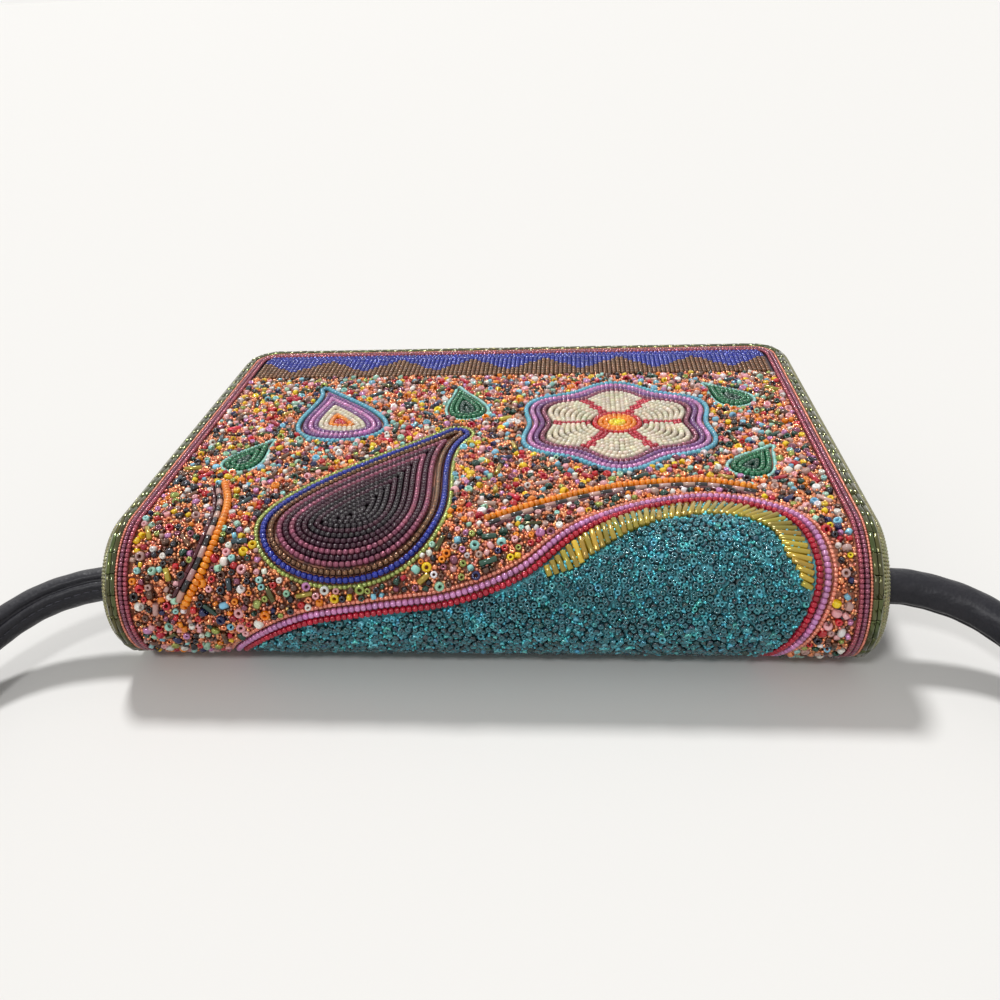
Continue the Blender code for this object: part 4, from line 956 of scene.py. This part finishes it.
def strew(kind, holes, crowd):
    """Throws beads on the ground, outside the holes and clear of the crowd."""
    tries, margin, room, closeness = kind
    low, high = np.array(((-FIELD_SIDE, -WRAP), (FIELD_SIDE, BRONZE_START))) + ((margin,), (-margin,))
    places = rng.uniform(low, high, (tries, 2))
    return throw(places[~np.any([inside(places, hole) for hole in holes], axis=0)], room, crowd, closeness)


def sew_strewn_bugles(holes, crowd):
    """Bugles lying every way on the ground; they take their room in the crowd."""
    places, heading = stray_bugles(holes)
    count = len(places)
    length = STRAY_LENGTH * rng.uniform(0.7, 1.12, count)
    reach = rays(heading) * length[:, None]
    for share in (-0.36, 0.0, 0.36):
        throw(places + reach * share, 0.9 * MM, crowd, 0.0)
    radius = rng.uniform(0.72, 0.92, count) * MM
    beads = Beads().add(BUGLE_TUBE, at_height(places, radius, 0.45 * MM), heading, (length, radius),
                        picked(STICKS, count), wobble=0.06, fade=0.2)
    sew("strewn_bugles", beads, LINED)


def sew_mixed_beads(holes, crowd):
    """Large and middle beads, half of them lying and half standing on their holes, in pieces left and right."""
    large = strew(LARGE_THROW, holes, crowd)[:LARGE_COUNT]
    middle = strew(MIDDLE_THROW, holes, crowd)
    places = np.vstack((large, middle))
    radius = np.concatenate((rng.uniform(*LARGE_RADII, len(large)), rng.uniform(*MIDDLE_RADII, len(middle)))) * MM
    is_large = radius > 1.2 * MM
    count = len(places)
    lying = rng.random(count) < 0.5
    tilt = tipped(np.where(lying, 0.0, math.pi / 2), 0.34, count)
    length = rng.uniform(1.35, 1.8, count) * radius
    lift = rng.uniform(0.05, 0.45, count) * np.where(is_large, 0.3, 1.0)
    height = np.column_stack((places, BEDDING + np.minimum(radius * 0.9, 1.05 * MM) + lift * MM))
    turn, colour = any_way(count), picked(MIX, count)
    for side, here in (("left", places[:, 0] < 0), ("right", places[:, 0] >= 0)):
        beads = Beads()
        for template, kind in ((DONUT, is_large), (HOLED, ~is_large)):
            chosen = here & kind
            beads.add(template, height[chosen], turn[chosen], (length[chosen], radius[chosen]), colour[chosen],
                      tilt=tilt[chosen], fade=0.1)
        sew("mixed_beads_" + side, beads, GLOSSY, ["flap_scatter", "fold_scatter_" + side])


def sew_ground(line):
    """Mixed ground: bugles, then large, middle and tiny beads thrown into the gaps between the motifs."""
    holes, crowd = motif_holes(line), {}
    sew_strewn_bugles(holes, crowd)
    sew_mixed_beads(holes, crowd)
    places = strew(GRAIN_THROW, holes, crowd)
    sew_grains("copper_grains", places, 0.5, (0.1, 0.75), (1.0, 0.55), lambda count: picked(GRAINS, count), 0.25,
               LINED)


def sew_edging():
    """Rows round the three free edges, from the field outwards: plum, a copper line, bugles and khaki."""
    plum = [(margin_path(FIELD_REACH + reach * MM), colour) for reach, colour in ((0.75, PLUM_EDGE), (2.2, MAUVE))]
    sew_rows("plum_edging_beads", plum, GLOSSY, "plum", edged("plum_row"), kind=PLUM_SEEDS, keep=over_hem)
    copper = [(margin_path(FIELD_REACH + 3.35 * MM), SALMON)]
    sew_rows("copper_edging_beads", copper, SATIN, "bronze", kind=COPPER_SEEDS, keep=over_hem)
    beads = Beads()
    for reach in (-1.35, 0.25):
        places, heading = stations(margin_path(CORNER_RADIUS + (BUGLE_OUT + reach * MM)), EDGE_BUGLE)
        beads.add(BUGLE_TUBE, at_height(places, EDGE_BUGLE_RADIUS, 0.4 * MM), heading,
                  (EDGE_BUGLE * 0.96, EDGE_BUGLE_RADIUS), OLIVE, wobble=0.02, fade=0.25)
    sew("olive_edging_bugles", beads, LINED, edged("bugle_edging"))
    khaki = [(margin_path(CORNER_RADIUS + (KHAKI_OUT + reach * MM)), KHAKI) for reach in (-1.75, -0.6, 0.55, 1.7)]
    sew_rows("khaki_edging_beads", khaki, LINED, "khaki", edged("khaki_row"), kind=KHAKI_SEEDS, keep=over_hem)


# ---- cloth layers

def sheet_grid(half, start, end, reach, across, along):
    """Flat grid over the pattern; outside the core rectangle square corners are drawn in to round ones, each
    point keeping its larger overhang as its distance from the corner."""
    u = np.linspace(-half - reach, half + reach, round(2 * (half + reach) / across) + 1)
    s = np.linspace(start, end + reach, round((end + reach - start) / along) + 1)
    u, s = np.meshgrid(u, s)
    over_u, over_s = overhang(u, s, half, end)
    scale = np.maximum(over_u, over_s) / np.maximum(np.hypot(over_u, over_s), 1e-9)
    return pulled(u, s, np.where((over_u > 0) & (over_s > 0), scale, 1.0), half, end)


def closed_sheet(name, u, s, top, bottom, material):
    """A sheet with thickness: the grid laid at its top and bottom heights, joined round its rim."""
    rows, columns = u.shape
    layers = [lay_on_bag(np.stack((u, s, np.broadcast_to(h, u.shape)), axis=-1)).reshape(-1, 3)
              for h in (top, bottom)]
    grid = np.arange(rows * columns).reshape(rows, columns)
    cells = np.stack((grid[:-1, :-1], grid[:-1, 1:], grid[1:, 1:], grid[1:, :-1]), axis=-1).reshape(-1, 4)
    rim = np.concatenate((grid[0, :-1], grid[:-1, -1], grid[-1, :0:-1], grid[:0:-1, 0]))
    after = np.roll(rim, -1)
    size = rows * columns
    edge = np.stack((rim, rim + size, after + size, after), axis=1)
    return new_piece(name, np.vstack(layers), np.vstack((cells, cells[:, ::-1] + size, edge)), material)


def dye_ground(ground, places, line):
    """Tints of the ground cloth: copper, turquoise under the teal field, and dark or pale under the motifs."""
    tints = np.tile((0.66, 0.24, 0.14), (len(places), 1))
    dyes = [(below(beside(line, ROW)), (0.15, 0.62, 0.72)), (blossom_edge(BLOSSOM_BAND), (0.42, 0.3, 0.28)),
            (drop_loop(**PAISLEY), (0.03, 0.012, 0.02)), (drop_loop(**MAUVE_PAISLEY), (0.16, 0.06, 0.14))]
    dyes += [(drop_loop(**leaf), (0.005, 0.05, 0.02)) for leaf in LEAVES.values()]
    for region, dye in dyes:
        tints[inside(places, region)] = dye
    tints[places[:, 1] > BRONZE_START] = (0.05, 0.03, 0.05)
    tints[np.hypot(*overhang(*places.T)) > FIELD_REACH + ROW] = (0.06, 0.04, 0.03)
    tint_points(ground, np.vstack((tints, tints)))


def make_cloths(line):
    """Ground cloth under the beads and the lining inside, both in one sheet across the fold's foremost line."""
    u, s = sheet_grid(CORE_SIDE, -WRAP, CORE_END, CORNER_RADIUS + EDGE_ROLL * ROLL_ANGLE, 1.6 * MM, 1.6 * MM)
    ground = closed_sheet("beaded_ground_cloth", u, s, CLOTH_TOP, CLOTH_TOP - CLOTH, GROUND)
    dye_ground(ground, np.column_stack((u.ravel(), s.ravel())), line)
    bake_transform(ground)
    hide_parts("flap_cloth", "fold_cloth")
    u, s = sheet_grid(BODY_SIDE - 10 * MM, -WRAP, PATTERN_END - 11 * MM, 9 * MM, 3 * MM, 1.3 * MM)
    lining = closed_sheet("flap_lining_cloth", u, s, LINING_TOP, LINING_TOP - FLAP_LINING, LINING)
    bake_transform(lining)
    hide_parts("flap_lining")


def sew_lining():
    """Stitches that hold the flap's lining, set in from its edge and laid on its open side."""
    corner = 7 * MM
    line = margin_path(corner, BODY_SIDE - 3.5 * MM - corner, PATTERN_END - 4.5 * MM - corner, 9 * MM, 9)
    places, heading = stations(line, 3.2 * MM)
    places = np.column_stack((places, np.full(len(places), LINING_TOP - FLAP_LINING)))
    beads = Beads().add(LINING_STITCH, places, heading, (2.2 * MM, 0.22 * MM), (0, 0, 0, 0))
    points, quads, _ = beads.side(True)
    piece = new_piece("flap_lining_stitches", points, quads, LINING_THREAD)
    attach(piece, "flap")


# ---- strap

LIP = 0.68  # angle in radians from the meeting edges to the sewn line beside them
SEAM_START = math.radians(124)
SEAM_TURN = math.radians(110)
STRAP_SIDES = 64
# Half of its course over the table, before the shift to the row frame
STRAP_ROUTE = [
    (BODY_SIDE + SEAT, *STRAP_EXIT), (BODY_SIDE + 8 * MM, *STRAP_EXIT),
    (BODY_SIDE + 20 * MM, STRAP_EXIT[0] - 1 * MM, STRAP_EXIT[1] - 0.5 * MM),
    (136 * MM, 14 * MM, 18.6 * MM), (147 * MM, 3 * MM, 14.6 * MM), (153 * MM, -13 * MM, 10.2 * MM),
    (154 * MM, -31 * MM, 7.2 * MM), (151 * MM, -50 * MM, 5.7 * MM), (146 * MM, -69 * MM, 5.4 * MM),
    (138 * MM, -88 * MM, 5.4 * MM), (126 * MM, -106 * MM, 5.4 * MM), (110 * MM, -121 * MM, 5.4 * MM),
    (90 * MM, -133 * MM, 5.4 * MM), (66 * MM, -141 * MM, 5.4 * MM), (40 * MM, -145.5 * MM, 5.4 * MM),
    (14 * MM, -147 * MM, 5.4 * MM),
]


def strap_line():
    """Centreline of the strap from side to side, in the row frame."""
    half = np.array(STRAP_ROUTE)
    route = np.vstack((half * (-1, 1, 1), half[::-1]))
    return smooth_path(route, 14) + (0, Y_SHIFT, 0)


def path_axes(line):
    """Unit directions along a line in space, level across it and up from it."""
    run = unit(np.gradient(line, axis=0))
    level = unit(np.cross(run, (0.0, 0.0, 1.0)))
    return run, level, np.cross(level, run)


def section_radius(angle, seam):
    """Rolled leather: round, with a deep groove where its edges meet and a shallow one along the sewn line."""
    off = (angle - seam + math.pi) % (2 * math.pi) - math.pi
    groove = 0.26 * np.exp(-(off / 0.13) ** 2) + 0.10 * np.exp(-((off - LIP) / 0.12) ** 2)
    shoulder = 0.035 * np.exp(-((np.abs(off) - 0.5) / 0.22) ** 2)
    return STRAP_DIAMETER / 2 * (0.985 - groove + shoulder)


def make_strap():
    """Strap: the section carried along its line, the seam turning slowly from the top left to beneath right."""
    line = strap_line()
    run, level, up = path_axes(line)
    share = np.linspace(0, 1, len(line))
    seam = SEAM_START + SEAM_TURN * share
    angle = np.linspace(0, 2 * math.pi, STRAP_SIDES, endpoint=False)
    creases = 0.05 * MM * np.sin(share[:, None] * 410 + 2 * np.sin(3 * angle[None] + 9 * share[:, None]))
    radius = section_radius(angle[None], seam[:, None]) + creases
    out = np.einsum("ak,kni->nai", rays(angle), np.stack((level, up)))
    points = line[:, None] + radius[..., None] * out
    ring = np.arange(len(line) * STRAP_SIDES).reshape(len(line), STRAP_SIDES)
    low, high = ring[:-1], ring[1:]
    quads = np.stack((low, high, np.roll(high, -1, axis=1), np.roll(low, -1, axis=1)), axis=-1).reshape(-1, 4)
    faces = quads.tolist() + [ring[0].tolist(), ring[-1][::-1].tolist()]
    strap = new_piece("strap_rolled_leather", points.reshape(-1, 3), faces, LEATHER)
    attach(strap, "bag_body")
    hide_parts("shoulder_strap")
    reached = reached_along(line)
    stitches = make_stitches(reached, line, run, level, up, seam + LIP)


def make_stitches(reached, line, run, level, up, angle):
    """Stitches at an angle round the strap: short capsules set into the leather, square to its surface."""
    at = np.arange(4 * MM, reached[-1] - 4 * MM, 3.1 * MM)
    centre, ahead, across, rise = (held_at(values, reached, at) for values in (line, run, level, up))
    ahead, angle = unit(ahead), np.interp(at, reached, angle)
    out = np.cos(angle)[:, None] * across + np.sin(angle)[:, None] * rise
    places = centre + out * (STRAP_DIAMETER / 2 - 0.5 * MM)
    axes = np.stack((ahead, np.cross(out, ahead), out), axis=2)
    points, quads = STRAP_STITCH
    laid = places[:, None] + np.einsum("nij,mj->nmi", axes, points * (2.2 * MM, 0.24 * MM, 0.24 * MM))
    faces = copied(quads, np.arange(len(at)) * len(points))
    piece = new_piece("strap_stitches", laid.reshape(-1, 3), faces, THREAD)
    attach(piece, "bag_body")
    return piece


# ---- solids carried over

def dress_solids():
    """Finishes of the solids that stay, with their hard edges eased."""
    finishes = {
        LYING_COVER: ("back_panel", "front_panel", "flap_board"),
        SIDE_COVER: ("gusset_left", "gusset_right"),
        END_COVER: ("bottom_panel",),
        LINING: ("pouch_lining",),
        METAL: ("snap_socket", "snap_stud"),
        LEATHER: ("strap_collar_left", "strap_collar_right"),
    }
    for material, names in finishes.items():
        for name in names:
            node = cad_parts[name]
            node.data.materials.clear()
            node.data.materials.append(material)
            weld = node.modifiers.new("weld", "WELD")
            weld.merge_threshold = 0.001 * MM
            ease = node.modifiers.new("eased edges", "BEVEL")
            ease.width = 0.12 * MM if material is LINING else 0.3 * MM
            ease.segments = 2
            ease.limit_method = "ANGLE"
            ease.angle_limit = math.radians(40)


# ---- stage, light and camera

def make_stage():
    """Pale floor, wide enough to fade into the surround."""
    size = 40.0
    pale = Maker("pale_floor").finish(Base_Color=(0.8, 0.79, 0.77, 1), Roughness=0.8, Specular_IOR_Level=0.1)
    new_piece("floor", [(-size, -size, 0), (size, -size, 0), (size, size, 0), (-size, size, 0)],
                       [(0, 1, 2, 3)], pale)


def make_light():
    """Soft light from behind on the left with a fill from the front, and a pale surround that lights less than
    it shows."""
    lamps = (("back_lamp", (-0.35, 0.75, 1.25), 2.2), ("front_lamp", (-0.5, -0.9, 1.1), 0.85))
    for name, place, strength in lamps:
        data = bpy.data.lights.new(name, "SUN")
        data.angle = math.radians(9)
        data.energy = strength
        lamp = bpy.data.objects.new(name, data)
        lamp.location = place
        lamp.rotation_euler = (-Vector(place)).to_track_quat("-Z", "Y").to_euler()
        bpy.context.scene.collection.objects.link(lamp)
    world = bpy.data.worlds.new("pale_surround")
    bpy.context.scene.world = world
    world.use_nodes = True
    tree = Nodes(world.node_tree)
    seen = tree.add("LightPath", "Is Camera Ray")
    path = seen.node
    for kind in ("Is Glossy Ray", "Is Transmission Ray"):
        seen = tree.larger(seen, path.outputs[kind])
    tree.fill(world.node_tree.nodes["Background"],
              {"Color": (0.93, 0.92, 0.9, 1), "Strength": tree.ramp(seen, 0.42, 1.0)})


def make_camera():
    """Camera of the photograph: low in front, looking down over the fold."""
    place = Vector((25 * MM, -201 * MM + Y_SHIFT, 177.5 * MM))
    pitch, yaw, roll = math.radians(29.8), math.radians(-5.25), math.radians(2.85)
    ahead = Vector((math.sin(yaw) * math.cos(pitch), math.cos(yaw) * math.cos(pitch), -math.sin(pitch)))
    right = Vector((math.cos(yaw), -math.sin(yaw), 0))
    down = ahead.cross(right)
    across = right * math.cos(roll) + down * math.sin(roll)
    below_axis = down * math.cos(roll) - right * math.sin(roll)
    data = bpy.data.cameras.new("camera")
    data.sensor_width = 36.0
    data.lens = 0.917 * data.sensor_width
    data.clip_start = 0.01
    camera = bpy.data.objects.new("camera", data)
    camera.matrix_world = Matrix.Translation(place) @ Matrix((across, -below_axis, -ahead)).transposed().to_4x4()
    bpy.context.scene.collection.objects.link(camera)
    bpy.context.scene.camera = camera


make_camera()
make_strap()
shore_line = smooth_path(chart(WAVE), 12)
sew_wave(shore_line)
sew_teal_field(shore_line, sew_fringe(shore_line))
sew_paisleys()
sew_blossom()
sew_leaves()
sew_garlands()
sew_border()
sew_ground(shore_line)
sew_edging()
make_cloths(shore_line)
sew_lining()
dress_solids()
make_stage()
make_light()
bpy.context.scene.view_settings.view_transform = "Standard"
